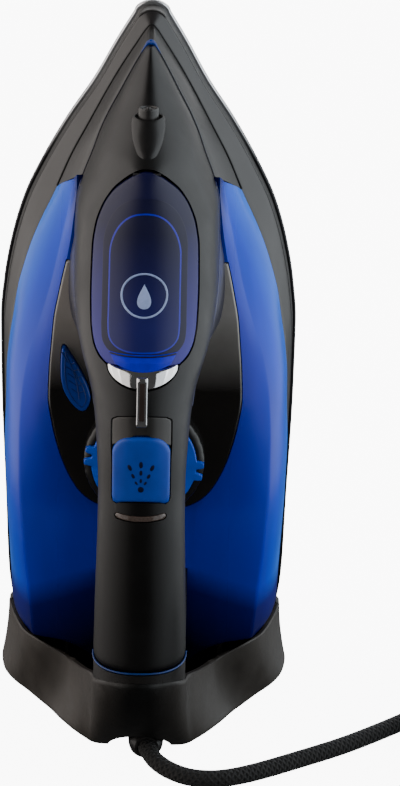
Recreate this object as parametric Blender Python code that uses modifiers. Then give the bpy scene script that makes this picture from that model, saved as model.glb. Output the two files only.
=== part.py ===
"""Steam iron, standing on its heel, as an assembly of separate pieces.

Run it with: blender --background --python part.py

The world is in metres with +Z up. The iron's nose points up, its soleplate faces +Y and its
handle faces -Y. Sizes below are in millimetres, in the iron's own three directions: x across,
s along the iron from the heel (s = 0) to the nose, and h away from the soleplate's face.
"""
import math

import bmesh
import bpy
from mathutils import Matrix, Vector

MM = 0.001
DEPTH = 150.0            # from the soleplate's face to the top of the spray button
SOLE_Y = DEPTH / 2       # the soleplate's face lies at this y, so the box is centred on y = 0
GAP = 0.3                # clearance between neighbouring pieces

# The soleplate: a nose arc, then half-widths along s.
NOSE = 279.0
NOSE_RADIUS = 9.0
PLATE = 4.0
SOLE_HALF = [(21.5, 54.0), (25, 56.0), (70, 58.0), (122, 59.7), (148, 59.9), (165, 58.4), (182, 55.3),
             (199, 50.3), (215, 42.9), (232, 33.6), (248, 23.2), (264, 14.3), (275, 7.2)]

# The line where the lower shell meets the tank and the front shroud.
SHELL_NOSE = 272.9
SHELL_HALF = [(28, 54.4), (51, 55.4), (81, 56.7), (104, 57.1), (120, 56.4), (135, 56.0), (148, 54.7),
              (158, 53.1), (169, 51.4), (179, 48.8), (188, 45.9), (196, 42.6), (208, 36.8), (222, 30.6),
              (235, 23.6), (247, 17.1), (257, 11.3), (267, 4.8)]
SHELL_HEIGHT = [(28, 17.0), (63, 19.0), (104, 24.0), (148, 28.5), (180, 30.0), (205, 27.0), (247, 21.0),
                (273, 18.0)]

# The housing: one long hood from the nose over the lid and along the handle. Its section is a
# superellipse that stands on the two side edges.
HOOD_HALF = [(57, 17.5), (82, 17.0), (122, 16.2), (143, 17.2), (156, 18.7), (163.5, 20.8), (171, 23.7),
             (179, 26.0), (190, 27.2), (201, 27.4), (214, 27.0), (221, 25.3), (231, 21.3), (238, 18.7),
             (245, 15.6), (251, 12.4), (258, 8.9), (263, 5.9), (270.5, 1.6)]
HOOD_EDGE = [(57, 128.0), (110, 127.0), (130, 124.0), (143, 120.0), (156, 114.0), (163.5, 107.0),
             (171, 98.0), (179, 87.5), (190, 78.0), (201, 68.0), (214, 58.0), (221, 53.0), (231, 48.5),
             (245, 43.5), (258, 39.0), (270.5, 34.0)]
HOOD_TOP = [(57, 149.0), (140, 149.0), (150, 148.4), (158, 147.0), (165, 144.3), (173, 140.0),
            (200, 121.5), (225, 104.5), (236, 97.0), (243, 84.0), (250, 70.0), (258, 58.0), (263, 50.0),
            (270.5, 36.5)]
HOOD_POWER = 2.4
HOOD_WALL = 2.5
HOOD_REAR = 57.8
HOOD_FRONT = 270.5

# The lid in the hood, and the chrome crescent behind it.
LID_FRONT = 235.6
LID_REAR = 174.4
LID_HALF = [(174.4, 13.4), (176.5, 16.2), (180, 18.2), (186, 19.2), (197, 19.6), (209, 19.4), (216, 18.4),
            (222, 16.2), (228, 12.3), (232, 8.0), (234.6, 4.2), (235.6, 1.6)]
LID_WALL = 2.4
LID_PIN_S = 234.7
LID_PIN_H = 96.2
LID_PIN = 0.6             # radius of the hinge pin, whose ends sit in the hood
LID_SWEEP = 236.8         # the hood is open up to here, for the lid's front edge to swing through
CRESCENT_HALF = 13.2
CRESCENT_WALL = 2.4

# The handle.
BUTTON_HALF = 10.5
SPRAY_REAR = 126.0
SPRAY_APEX = 151.5
SPRAY_SHOULDER = 5.0
SPRAY_SQUARENESS = 4.0
SPRAY_PROUD = 1.0        # the spray button stands above the hood
BURST_FRONT = 159.3
BURST_HALF = 10.8

# The tank's outer crease and the inner edge of its deck, which goes round the console.
CREASE_HALF = [(28, 43.5), (52, 45.6), (74, 48.0), (99, 49.4), (115, 49.4), (132, 48.6), (148, 46.2),
               (164, 41.5), (180, 36.9), (193, 34.0), (208, 30.6), (216, 29.0)]
CREASE_HEIGHT = [(28, 61.0), (52, 62.0), (99, 60.0), (132, 58.0), (164, 56.0), (180, 53.0), (193, 50.0),
                 (208, 46.0), (216, 45.0)]
DECK_HALF = [(28, 19.5), (88, 19.5), (99, 25.8), (106, 29.8), (115, 33.2), (125, 35.7), (137, 37.4),
             (149, 37.0), (159, 36.2), (168, 35.4), (176, 33.9), (188, 31.3), (200, 29.2), (216, 27.4)]
DECK_HEIGHT = [(28, 67.0), (99, 69.0), (139, 68.0), (160, 66.0), (176, 62.0), (190, 58.0), (200, 56.5),
               (216, 54.0)]
CONSOLE_HALF = [(89.5, 8.0), (91, 13.0), (93.5, 19.3), (95.5, 22.3), (99, 25.8), (106, 29.8), (115, 33.2),
                (125, 35.7), (137, 37.4), (149, 37.0), (159, 36.2), (168, 35.4), (176, 33.9),
                (184, 32.2), (189, 31.0)]
STRIP_FOOT = [(160, 25.6), (166, 27.6), (171, 29.2), (180, 30.2), (189.5, 29.9), (200, 28.0),
              (212, 26.4)]

# The dial.
DIAL_S = 113.0
DIAL_RADIUS = 23.5
DIAL_FOOT = 70.0
DIAL_TURN = math.radians(7.5)

# The heel cover: its foot rim on the table, and its front edge, point for point.
HEEL_RIM = [(0, 5.0), (30, 5.0), (50, 5.0), (58.2, 6.6), (59.6, 11.0), (57.8, 25.0), (53.4, 35.7),
            (47.5, 45.0), (42.1, 54.3), (37.0, 63.0), (32.8, 71.5), (27.0, 81.5), (21.6, 89.0),
            (19.0, 91.8), (15.4, 93.2), (7.0, 93.4), (0, 93.4)]
HEEL_FRONT = [(0, 5.0, 20.9), (30, 5.0, 20.9), (47, 5.0, 20.9), (54.8, 7.0, 21.6), (56.2, 14.0, 25.0),
              (53.6, 32.0, 29.3), (48.5, 53.0, 31.2), (42.0, 62.6, 31.0), (35.6, 66.4, 28.9),
              (31.3, 69.0, 27.3), (27.7, 73.5, 26.7), (23.4, 86.0, 29.8), (19.0, 108.0, 38.0),
              (17.7, 125.0, 44.0), (14.0, 138.0, 49.3), (6.5, 145.6, 51.4), (0, 147.2, 52.0)]
HEEL_WALL = 2.4
HEEL_BACK = 3.0
HEEL_STEPS = (0.0, 0.1, 0.25, 0.45, 0.7, 1.0)
NOTCH_HALF = 12.4
NOTCH_TOP = 16.4
NOTCH_DEEP = 64.0

# The cord: a 7 mm braided lead, 1.9 m long with its coil.
CORD = 7.0
SWIVEL_BALL = (0.3, 10.0, 72.0)      # x, s, h of the swivel's ball
SWIVEL_COLLAR = (2.6, 7.4, 104.7)    # x, s, h of the collar
CORD_ROUTE = [(3.3, -36.2, 6.9), (6.1, -42.6, 6.1), (11.7, -48.5, 4.8), (19.1, -52.4, 3.9),
              (27.3, -53.6, 3.7), (35.5, -51.9, 3.7), (46.9, -46.0, 3.7), (62.6, -35.4, 3.7),
              (78.6, -24.0, 3.7), (92.0, -12.6, 3.7), (104.0, -1.6, 3.8), (113.2, 6.6, 4.2)]
COIL_CENTRE = (163.5, -23.1)
COIL_MIDDLE = 40.0       # four turns lie on the table round this radius, and three nest on them
COIL_COLUMNS = 4
COIL_FLOOR = 1.9
COIL_NEST = CORD * math.sin(math.radians(60))
TIE_HALF = 6.0
TIE_WALL = 1.4
TAIL_ROUTE = [(210.5, -53.5, 12.4), (210.2, -61.0, 11.2), (207.8, -71.5, 9.8), (201.6, -81.6, 9.0),
              (192.2, -89.4, 9.2), (181.6, -94.2, 10.8), (172.6, -95.6, 12.9)]
PLUG_AXIS_Y = -95.6
PLUG_AXIS_Z = 17.4
PLUG_BACK = 150.0

WHITE_METAL = (0.78, 0.79, 0.80)
GREY_METAL = (0.55, 0.55, 0.56)
CHROME = (0.92, 0.92, 0.93)
BLACK = (0.015, 0.014, 0.013)
GREY = (0.075, 0.070, 0.066)
BLUE = (0.005, 0.035, 0.42)
BUTTON_BLUE = (0.004, 0.08, 0.42)
DEEP_BLUE = (0.01, 0.015, 0.16)
RUBBER = (0.02, 0.02, 0.02)
CREAM = (0.75, 0.70, 0.60)


# ---------------------------------------------------------------- small tools

def clear_scene():
    for item in list(bpy.data.objects):
        bpy.data.objects.remove(item, do_unlink=True)


def at(x, s, h):
    """The world point of an iron coordinate."""
    return Vector((x * MM, (SOLE_Y - h) * MM, s * MM))


def smooth(table, station):
    """A curve without overshoot through a table of (station, value) pairs."""
    if station <= table[0][0]:
        return table[0][1]
    if station >= table[-1][0]:
        return table[-1][1]
    last = len(table) - 2
    i = max(k for k in range(last + 1) if table[k][0] <= station)

    def rise(k):
        return (table[k + 1][1] - table[k][1]) / (table[k + 1][0] - table[k][0])

    def slope(k):
        if k == 0:
            return rise(0)
        if k == last + 1:
            return rise(last)
        before, after = rise(k - 1), rise(k)
        return 0.0 if before * after <= 0 else 2 * before * after / (before + after)

    width = table[i + 1][0] - table[i][0]
    t = (station - table[i][0]) / width
    return ((2 * t ** 3 - 3 * t ** 2 + 1) * table[i][1] + (t ** 3 - 2 * t ** 2 + t) * width * slope(i)
            + (3 * t ** 2 - 2 * t ** 3) * table[i + 1][1] + (t ** 3 - t ** 2) * width * slope(i + 1))


def spread(low, high, count):
    return [low + (high - low) * k / (count - 1) for k in range(count)]


def inset(outline, amount):
    """A closed outline moved inward by an amount, point for point."""
    area = sum(a[0] * b[1] - b[0] * a[1] for a, b in zip(outline, outline[1:] + outline[:1]))
    turn = 1.0 if area > 0 else -1.0
    moved = []
    for k, here in enumerate(outline):
        before, after = outline[k - 1], outline[(k + 1) % len(outline)]
        one = Vector((here[0] - before[0], here[1] - before[1])).normalized()
        two = Vector((after[0] - here[0], after[1] - here[1])).normalized()
        normal = Vector((-(one.y + two.y), one.x + two.x)).normalized() * turn
        reach = amount / max(0.45, normal.dot(Vector((-one.y, one.x)) * turn))
        moved.append((here[0] + normal.x * reach, here[1] + normal.y * reach))
    return moved


def paint(item, colour, roughness=0.4, metallic=0.0):
    material = bpy.data.materials.new(item.name)
    material.use_nodes = True
    shader = material.node_tree.nodes["Principled BSDF"]
    shader.inputs["Base Color"].default_value = (*colour, 1.0)
    shader.inputs["Roughness"].default_value = roughness
    shader.inputs["Metallic"].default_value = metallic
    item.data.materials.clear()
    item.data.materials.append(material)


def put(name, data, folder):
    item = bpy.data.objects.new(name, data)
    folder.objects.link(item)
    return item


def from_faces(name, points, faces, folder):
    mesh = bpy.data.meshes.new(name)
    mesh.from_pydata(points, [], faces)
    work = bmesh.new()
    work.from_mesh(mesh)
    bmesh.ops.recalc_face_normals(work, faces=work.faces)
    work.to_mesh(mesh)
    work.free()
    mesh.shade_smooth()
    mesh.set_sharp_from_angle(angle=math.radians(35))
    return put(name, mesh, folder)


def loft(name, rings, folder, closed=False):
    """A skin over rings of equal length: capped at both ends, or closed on itself."""
    count = len(rings[0])
    points = [point for ring in rings for point in ring]
    faces = []
    for r in range(len(rings) if closed else len(rings) - 1):
        low, high = r * count, (r + 1) % len(rings) * count
        for k in range(count):
            n = (k + 1) % count
            faces.append((low + k, low + n, high + n, high + k))
    if not closed:
        faces.append(tuple(range(count)))
        faces.append(tuple(range(len(points) - count, len(points))))
    return from_faces(name, points, faces, folder)


def flat(name, outline, low, high, folder, plane="sole"):
    """A flat outline made thick. In plane "sole" it is (x, s) between two heights h, in plane
    "side" (s, h) between two x, in plane "table" (x, y) between two z, and in plane "rear"
    (x, h) between two stations s."""
    curve = bpy.data.curves.new(name, "CURVE")
    curve.dimensions = "2D"
    curve.fill_mode = "BOTH"
    curve.extrude = (high - low) / 2 * MM
    spline = curve.splines.new("POLY")
    spline.points.add(len(outline) - 1)
    for point, (a, b) in zip(spline.points, outline):
        point.co = (a * MM, b * MM, 0, 1)
    spline.use_cyclic_u = True
    item = put(name, curve, folder)
    middle = (low + high) / 2
    frames = {
        "sole": (Vector((1, 0, 0)), Vector((0, 0, 1)), at(0, 0, middle)),
        "side": (Vector((0, 0, 1)), Vector((0, -1, 0)), at(middle, 0, 0)),
        "table": (Vector((1, 0, 0)), Vector((0, 1, 0)), Vector((0, 0, middle * MM))),
        "rear": (Vector((1, 0, 0)), Vector((0, -1, 0)), at(0, middle, 0)),
    }
    first, second, origin = frames[plane]
    turn = Matrix((first, second, first.cross(second))).transposed().to_4x4()
    item.matrix_world = Matrix.Translation(origin) @ turn
    return solid(item)


def solid(item):
    """Turns a curve or an object with modifiers into a plain welded mesh in world space."""
    bpy.context.view_layer.update()
    graph = bpy.context.evaluated_depsgraph_get()
    mesh = bpy.data.meshes.new_from_object(item.evaluated_get(graph))
    mesh.transform(item.matrix_world)
    work = bmesh.new()
    work.from_mesh(mesh)
    bmesh.ops.remove_doubles(work, verts=work.verts, dist=1e-6)
    bmesh.ops.recalc_face_normals(work, faces=work.faces)
    work.to_mesh(mesh)
    work.free()
    mesh.shade_smooth()
    mesh.set_sharp_from_angle(angle=math.radians(35))
    name, folder = item.name, item.users_collection[0]
    bpy.data.objects.remove(item, do_unlink=True)
    mesh.name = name
    return put(name, mesh, folder)


def turned(name, profile, start, end, folder, sides=24):
    """A turned body: (radius, distance) pairs from start towards end, two iron or world points."""
    mesh = bpy.data.meshes.new(name)
    points = [(radius * MM, 0, distance * MM) for radius, distance in profile]
    ring = profile[0][0] > 0
    edges = [(k, k + 1) for k in range(len(points) - 1)]
    if ring:
        edges.append((len(points) - 1, 0))
    mesh.from_pydata(points, edges, [])
    item = put(name, mesh, folder)
    screw = item.modifiers.new("turn", "SCREW")
    screw.steps = sides
    screw.render_steps = sides
    screw.use_merge_vertices = True
    screw.merge_threshold = 0.00001
    item.matrix_world = Matrix.Translation(start) @ (end - start).to_track_quat("Z", "Y").to_matrix().to_4x4()
    return solid(item)


def rod(name, radius, start, end, folder, sides=20):
    length = (end - start).length / MM
    return turned(name, [(0, length), (radius, length), (radius, 0), (0, 0)], start, end, folder, sides)


def block(name, low, high, folder, bevel=0.0):
    """A box between two iron points (x, s, h), with rounded edges where bevel is given."""
    one, two = at(*low), at(*high)
    work = bmesh.new()
    bmesh.ops.create_cube(work, size=1.0)
    for vert in work.verts:
        vert.co = Vector((one[k] + two[k]) / 2 + vert.co[k] * abs(two[k] - one[k]) for k in range(3))
    mesh = bpy.data.meshes.new(name)
    work.to_mesh(mesh)
    work.free()
    item = put(name, mesh, folder)
    if bevel:
        edge = item.modifiers.new("edge", "BEVEL")
        edge.width = bevel * MM
        edge.segments = 2
        edge.limit_method = "NONE"
    return solid(item)


def wire(name, route, radius, folder, resolution=2):
    """A round wire along world points in metres."""
    curve = bpy.data.curves.new(name, "CURVE")
    curve.dimensions = "3D"
    curve.bevel_depth = radius * MM
    curve.bevel_resolution = resolution
    curve.use_fill_caps = True
    spline = curve.splines.new("POLY")
    spline.points.add(len(route) - 1)
    for point, place in zip(spline.points, route):
        point.co = (*place, 1)
    return put(name, curve, folder)


def triangulate(item):
    """Splits a mesh into triangles, because a bent four-sided face has no exact cut."""
    work = bmesh.new()
    work.from_mesh(item.data)
    bmesh.ops.triangulate(work, faces=work.faces)
    work.to_mesh(item.data)
    work.free()


def combine(item, cutter, operation="DIFFERENCE"):
    """Cuts an object with a cutter, or joins them, and keeps the result as a plain mesh."""
    triangulate(item)
    triangulate(cutter)
    cut = item.modifiers.new("cut", "BOOLEAN")
    cut.operation = operation
    cut.object = cutter
    cutter.hide_render = True
    cutter.display_type = "WIRE"
    return solid(item)


# ---------------------------------------------------------------- shapes that pieces share

def nose_up(half, stations, tip):
    """A closed outline, symmetric in x: up the right side, over the tip, down the left side."""
    right = [(half(s), s) for s in stations]
    return right + [(0.0, tip)] + [(-x, s) for x, s in reversed(right)]


def sole_half(s):
    """The soleplate's half-width, round at the nose."""
    from_tip = NOSE - s
    flank = smooth(SOLE_HALF, s)
    if from_tip > 2 * NOSE_RADIUS:
        return flank
    arc = math.sqrt(max(0.0, NOSE_RADIUS ** 2 - (NOSE_RADIUS - from_tip) ** 2))
    return min(flank, arc) if from_tip < 6 else flank


def sole_outline(amount):
    stations = [21.5, 25, 40, 70, 100, 122, 148, 165, 182, 199, 215, 232, 248, 262, 270, 274.5, 277.4, 278.7]
    return inset(nose_up(sole_half, stations, NOSE), amount)


def shell_outline():
    stations = [28.4, 40, 60, 81, 104, 120, 135, 148, 158, 169, 179, 188, 196, 208, 222, 235, 247, 257,
                267, 271]
    return nose_up(lambda s: smooth(SHELL_HALF, s) if s < 268 else 1.9, stations, SHELL_NOSE)


def hood_edge(s):
    return smooth(HOOD_HALF, s), smooth(HOOD_EDGE, s), smooth(HOOD_TOP, s)


def crown(x, s, sunk=0.0):
    """The height of the hood's outer surface over a point, less a depth."""
    half, edge, top = hood_edge(s)
    share = min(1.0, abs(x) / half)
    return edge + (top - edge) * (1 - share ** HOOD_POWER) ** (1 / HOOD_POWER) - sunk


def arch(half, edge, top, count=13):
    """Half a superellipse from the right edge over the top to the left edge."""
    points = []
    for angle in spread(0, math.pi, count):
        c, q = math.cos(angle), math.sin(angle)
        x = half * math.copysign(abs(c) ** (2 / HOOD_POWER), c)
        points.append((x, edge + (top - edge) * abs(q) ** (2 / HOOD_POWER)))
    return points


def patch(name, stations, span, surface, wall, folder, across=7):
    """A curved plate: at each station it reaches between the two ends that span gives, its top
    lies on the surface, and its underside a wall below. The stations run along s."""
    rings = []
    for s in stations:
        low, high = span(s)
        xs = spread(low, high, across)
        top = [at(x, s, surface(x, s)) for x in xs]
        under = [at(x, s, surface(x, s) - wall) for x in reversed(xs)]
        rings.append(top + under)
    return loft(name, rings, folder)


def patch_across(name, xs, span, surface, wall, folder, along=4):
    """A curved plate like patch, whose stations run across x."""
    rings = []
    for x in xs:
        low, high = span(x)
        stations = spread(low, high, along)
        top = [at(x, s, surface(x, s)) for s in stations]
        under = [at(x, s, surface(x, s) - wall) for s in reversed(stations)]
        rings.append(top + under)
    return loft(name, rings, folder)


def band(name, outer, heights, wall, folder):
    """A wall round an outline: outlines in (x, s) with a height function for each, lowest first."""
    rings = [[at(x, s, height(s)) for x, s in outline] for outline, height in zip(outer, heights)]
    inner = [[at(x, s, height(s)) for x, s in inset(outline, wall)]
             for outline, height in zip(outer, heights)]
    return loft(name, rings + inner[::-1], folder, closed=True)


def helix(x, s, low, high, radius, turns):
    steps = int(turns * 10)
    return [at(x + radius * math.cos(2 * math.pi * k / 10), s + radius * math.sin(2 * math.pi * k / 10),
               low + (high - low) * k / steps) for k in range(steps + 1)]


def flowing(route, step):
    """Points a step apart along a smooth curve through a route's own points, in metres."""
    places = [Vector(p) * MM for p in route]
    ends = [places[0] * 2 - places[1]] + places + [places[-1] * 2 - places[-2]]
    fine = []
    for k in range(1, len(ends) - 2):
        a, b, c, d = ends[k - 1:k + 3]
        for t in spread(0, 1, 13)[:-1]:
            fine.append(0.5 * (2 * b + (c - a) * t + (2 * a - 5 * b + 4 * c - d) * t * t
                               + (3 * b - a - 3 * c + d) * t ** 3))
    fine.append(places[-1])
    length = sum((q - p).length for p, q in zip(fine, fine[1:]))
    count = max(2, round(length / (step * MM)))
    wanted, walked, kept = 0.0, 0.0, []
    for p, q in zip(fine, fine[1:]):
        piece = (q - p).length
        while wanted <= walked + piece + 1e-9 and len(kept) < count:
            kept.append(p.lerp(q, (wanted - walked) / piece))
            wanted += length / count
        walked += piece
    return kept + [places[-1]]


# ---------------------------------------------------------------- the sole and the heat

def make_soleplate(parts, cutters):
    levels = [(0.0, 1.0), (0.9, 0.0), (3.3, 0.0), (PLATE, 0.7)]
    item = loft("soleplate", [[at(x, s, h) for x, s in sole_outline(d)] for h, d in levels], parts)
    work = bmesh.new()
    holes = [(side * x, s) for side in (-1, 1) for x, s in
             [(40, 80), (45, 105), (45, 130), (42, 155), (34, 180), (24, 203), (14, 226), (22, 150), (15, 185)]]
    for x, s in holes + [(0, 248), (0, 210)]:
        turn = Matrix.Rotation(math.radians(90), 4, "X")
        bmesh.ops.create_cone(work, cap_ends=True, segments=8, radius1=1.5 * MM, radius2=1.5 * MM,
                              depth=12 * MM, matrix=Matrix.Translation(at(x, s, 2)) @ turn)
    mesh = bpy.data.meshes.new("steam_holes")
    work.to_mesh(mesh)
    work.free()
    item = combine(item, put("steam_holes", mesh, cutters))
    paint(item, WHITE_METAL, 0.3, 0.9)


def make_heater(parts, cutters):
    outline = sole_outline(8.0)
    item = flat("heater_casting", outline, PLATE + GAP, 11.5, parts)
    pocket = [(-17, 70), (17, 70), (17, 160), (9, 200), (-9, 200), (-17, 160)]
    item = combine(item, flat("steam_pocket", pocket, 7.0, 14.0, cutters))
    paint(item, GREY_METAL, 0.5, 0.9)
    cover = [(-20, 66), (20, 66), (20, 162), (11, 204), (-11, 204), (-20, 162)]
    item = flat("steam_chamber_cover", cover, 11.8, 13.3, parts)
    hole = rod("valve_seat_hole", 2.2, at(0, 171.5, 8), at(0, 171.5, 18), cutters, 12)
    item = combine(item, hole)
    paint(item, GREY_METAL, 0.35, 0.9)
    route = [(-30, 58), (-31, 100), (-30, 150), (-24, 185), (-14, 212), (-6, 221), (6, 221), (14, 212),
             (24, 185), (30, 150), (31, 100), (30, 58)]
    path = flowing([(x, SOLE_Y - 15.3, s) for x, s in route], 12)
    item = wire("heating_element", path, 3.2, parts)
    paint(item, GREY_METAL, 0.45, 0.8)


def make_thermostat(parts, cutters):
    item = block("thermostat_body", (-11, 103, 13.6), (11, 123, 22.0), parts, 0.8)
    paint(item, CREAM, 0.6)
    item = turned("thermal_fuse", [(0, 22), (2.6, 21), (3.2, 18), (3.2, 4), (2.6, 1), (0, 0)],
                  at(0, 74, 17.2), at(0, 96, 17.2), parts, 14)
    paint(item, WHITE_METAL, 0.5)


def make_skirts(parts, cutters):
    item = band("heat_shield", [sole_outline(1.4), sole_outline(1.8)],
                [lambda s: PLATE + GAP, lambda s: 12.0], 2.2, parts)
    paint(item, BLACK, 0.5)
    top = shell_outline()
    low = []
    for x, s in top:
        reach = s + 3.6 * max(0.0, (s - 200) / 73) ** 2
        wide = 0.0 if x == 0 else math.copysign(max(0.8, sole_half(reach) - 2.0), x)
        low.append((wide, reach))
    item = band("lower_shell", [low, top], [lambda s: 12.3, lambda s: smooth(SHELL_HEIGHT, s)], 2.2, parts)
    paint(item, GREY, 0.25)


def make_front_shroud(parts, cutters):
    """The V-shaped panel on both sides of the nose, between the lower shell and the hood."""
    rings = []
    count = 9
    for side in (-1, 1):
        order = range(count) if side < 0 else range(count - 1, -1, -1)
        for k in order:
            t = 1 - k / (count - 1)
            low_s = 209.6 + (271.9 - 209.6) * (1 - t)
            top_s = 222.0 + (269.7 - 222.0) * (1 - t)
            low_x = smooth(SHELL_HALF, low_s) if k < count - 1 else 1.5
            low = Vector((low_x, low_s, smooth(SHELL_HEIGHT, low_s) + 0.4))
            top = Vector((max(1.3, smooth(HOOD_HALF, top_s)), top_s, smooth(HOOD_EDGE, top_s) - 0.4))
            middle = (low + top) / 2 + Vector((0.5, 0.3, 0))
            wall = min(2.2, low_x * 0.45)
            ring = [low, middle, top, top - Vector((wall, 0, 0)), middle - Vector((wall, 0, 0)),
                    low - Vector((wall, 0, 0))]
            rings.append([at(side * p.x, p.y, p.z) for p in ring])
    item = loft("front_shroud", rings, parts)
    paint(item, GREY, 0.25)


# ---------------------------------------------------------------- the tank and the console

def tank_rings(amount, floor):
    """Sections of the tank. The rear one follows the heel cover's front edge."""
    rear = [28.3, 30.8, 32.4, 31.9, 25.4]
    stations = [None, 40, 60, 80, 99, 115, 132, 148, 164, 180, 193, 205]
    rings = []
    for s in stations:
        here = 31 if s is None else s
        low, high = smooth(SHELL_HALF, here), smooth(CREASE_HALF, here)
        foot, ridge = smooth(SHELL_HEIGHT, here) + floor, smooth(CREASE_HEIGHT, here)
        deck, roof = smooth(DECK_HALF, here), smooth(DECK_HEIGHT, here)
        right = [(low, foot), ((low + high) / 2 + 1.8, (foot + ridge) / 2), (high, ridge),
                 ((high + deck) / 2, (ridge + roof) / 2 + 0.8), (deck, roof)]
        section = right + [(-x, h) for x, h in reversed(right)]
        section = inset(section, amount) if amount else section
        places = rear + rear[::-1] if s is None else [here] * len(section)
        step = amount if s is None else 0.0
        rings.append([at(x, place + step, h) for (x, h), place in zip(section, places)])
    tip = [(36.2, 27.2), (33.6, 37), (29.6, 45.6), (28.6, 50), (26.9, 52.2)]
    section = tip + [(-x, h) for x, h in reversed(tip)]
    section = inset(section, amount) if amount else section
    reach = [209.2, 213.0, 216.5, 219.0, 220.4]
    reach = reach + reach[::-1]
    rings.append([at(x, place - amount, h) for (x, h), place in zip(section, reach)])
    return rings


def console_outline(grow):
    stations = [s for s, _ in CONSOLE_HALF]
    right = [(smooth(CONSOLE_HALF, s), s) for s in stations]
    loop = right + [(-x, s) for x, s in reversed(right)]
    return inset(loop, -grow)


def make_tank(parts, cutters):
    item = loft("water_tank", tank_rings(0.0, 0.5), parts)
    cavity = loft("tank_cavity", tank_rings(2.2, 0.5), cutters)
    core = block("tank_core", (-19, 10, 0), (19, 178, 56), cutters)
    core_wall = block("tank_core_wall", (-21.2, 5, -5), (21.2, 180.2, 58.2), cutters)
    slot = block("tank_slot", (-18, 10, 20), (18, 65.6, 90), cutters)
    slot_wall = block("tank_slot_wall", (-20.2, 5, 15), (20.2, 67.8, 95), cutters)
    recess = flat("tank_recess", console_outline(0.4), 47.0, 90.0, cutters)
    recess_wall = flat("tank_recess_wall", console_outline(2.6), 44.8, 95.0, cutters)
    throat = block("tank_throat", (-24, 189, 49), (24, 230, 90), cutters)
    throat_wall = block("tank_throat_wall", (-26.2, 186.8, 46.8), (26.2, 235, 95), cutters)
    filler = rod("filler_hole", 8.0, at(0, 200, 40), at(0, 200, 60), cutters, 16)
    for shape in (core_wall, slot_wall, recess_wall, throat_wall):
        cavity = combine(cavity, shape)
    for shape in (core, slot, recess, throat, filler, cavity):
        item = combine(item, shape)
    paint(item, BLUE, 0.1)


def make_console(parts, cutters):
    outline = console_outline(0.0)
    top = [at(x, s, smooth(DECK_HEIGHT, s) + 0.3) for x, s in outline]
    shoulder = [at(x, s, smooth(DECK_HEIGHT, s) + 0.9) for x, s in inset(outline, 1.0)]
    under = [at(x, s, smooth(DECK_HEIGHT, s) - 3.0) for x, s in outline]
    item = loft("console", [under, top, shoulder], parts)
    item = combine(item, rod("console_shaft_hole", 4.2, at(0, DIAL_S, 50), at(0, DIAL_S, 90), cutters, 16))
    leaf = flat("console_leaf_hole", leaf_outline(-0.4), 50.0, 90.0, cutters)
    item = combine(item, leaf)
    item = combine(item, block("console_duct", (-12, 168, 40), (12, 184, 90), cutters))
    paint(item, BLACK, 0.08)


def leaf_outline(amount):
    """The self-clean button's leaf shape, on the left of the console."""
    points = [(-31.9, 157.6), (-28.6, 153.6), (-24.8, 147.4), (-21.9, 141.0), (-21.2, 136.0),
              (-23.9, 132.0), (-28.0, 134.8), (-31.4, 140.6), (-32.6, 148.0)]
    return inset(points, amount)


def make_self_clean(parts, cutters):
    item = flat("self_clean_button", leaf_outline(0.0), 64.6, 71.6, parts)
    edge = item.modifiers.new("edge", "BEVEL")
    edge.width = 0.5 * MM
    edge.segments = 2
    edge.limit_method = "ANGLE"
    item = solid(item)
    paint(item, BUTTON_BLUE, 0.35)
    stem = rod("self_clean_stem", 1.8, at(-27, 144, 52.2), at(-27, 144, 64.3), parts, 12)
    paint(stem, CREAM, 0.5)
    spring = wire("self_clean_spring", helix(-27, 144, 48.2, 63.6, 3.0, 5), 0.4, parts, 0)
    paint(spring, GREY_METAL, 0.3, 1.0)


# ---------------------------------------------------------------- the housing

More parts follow.
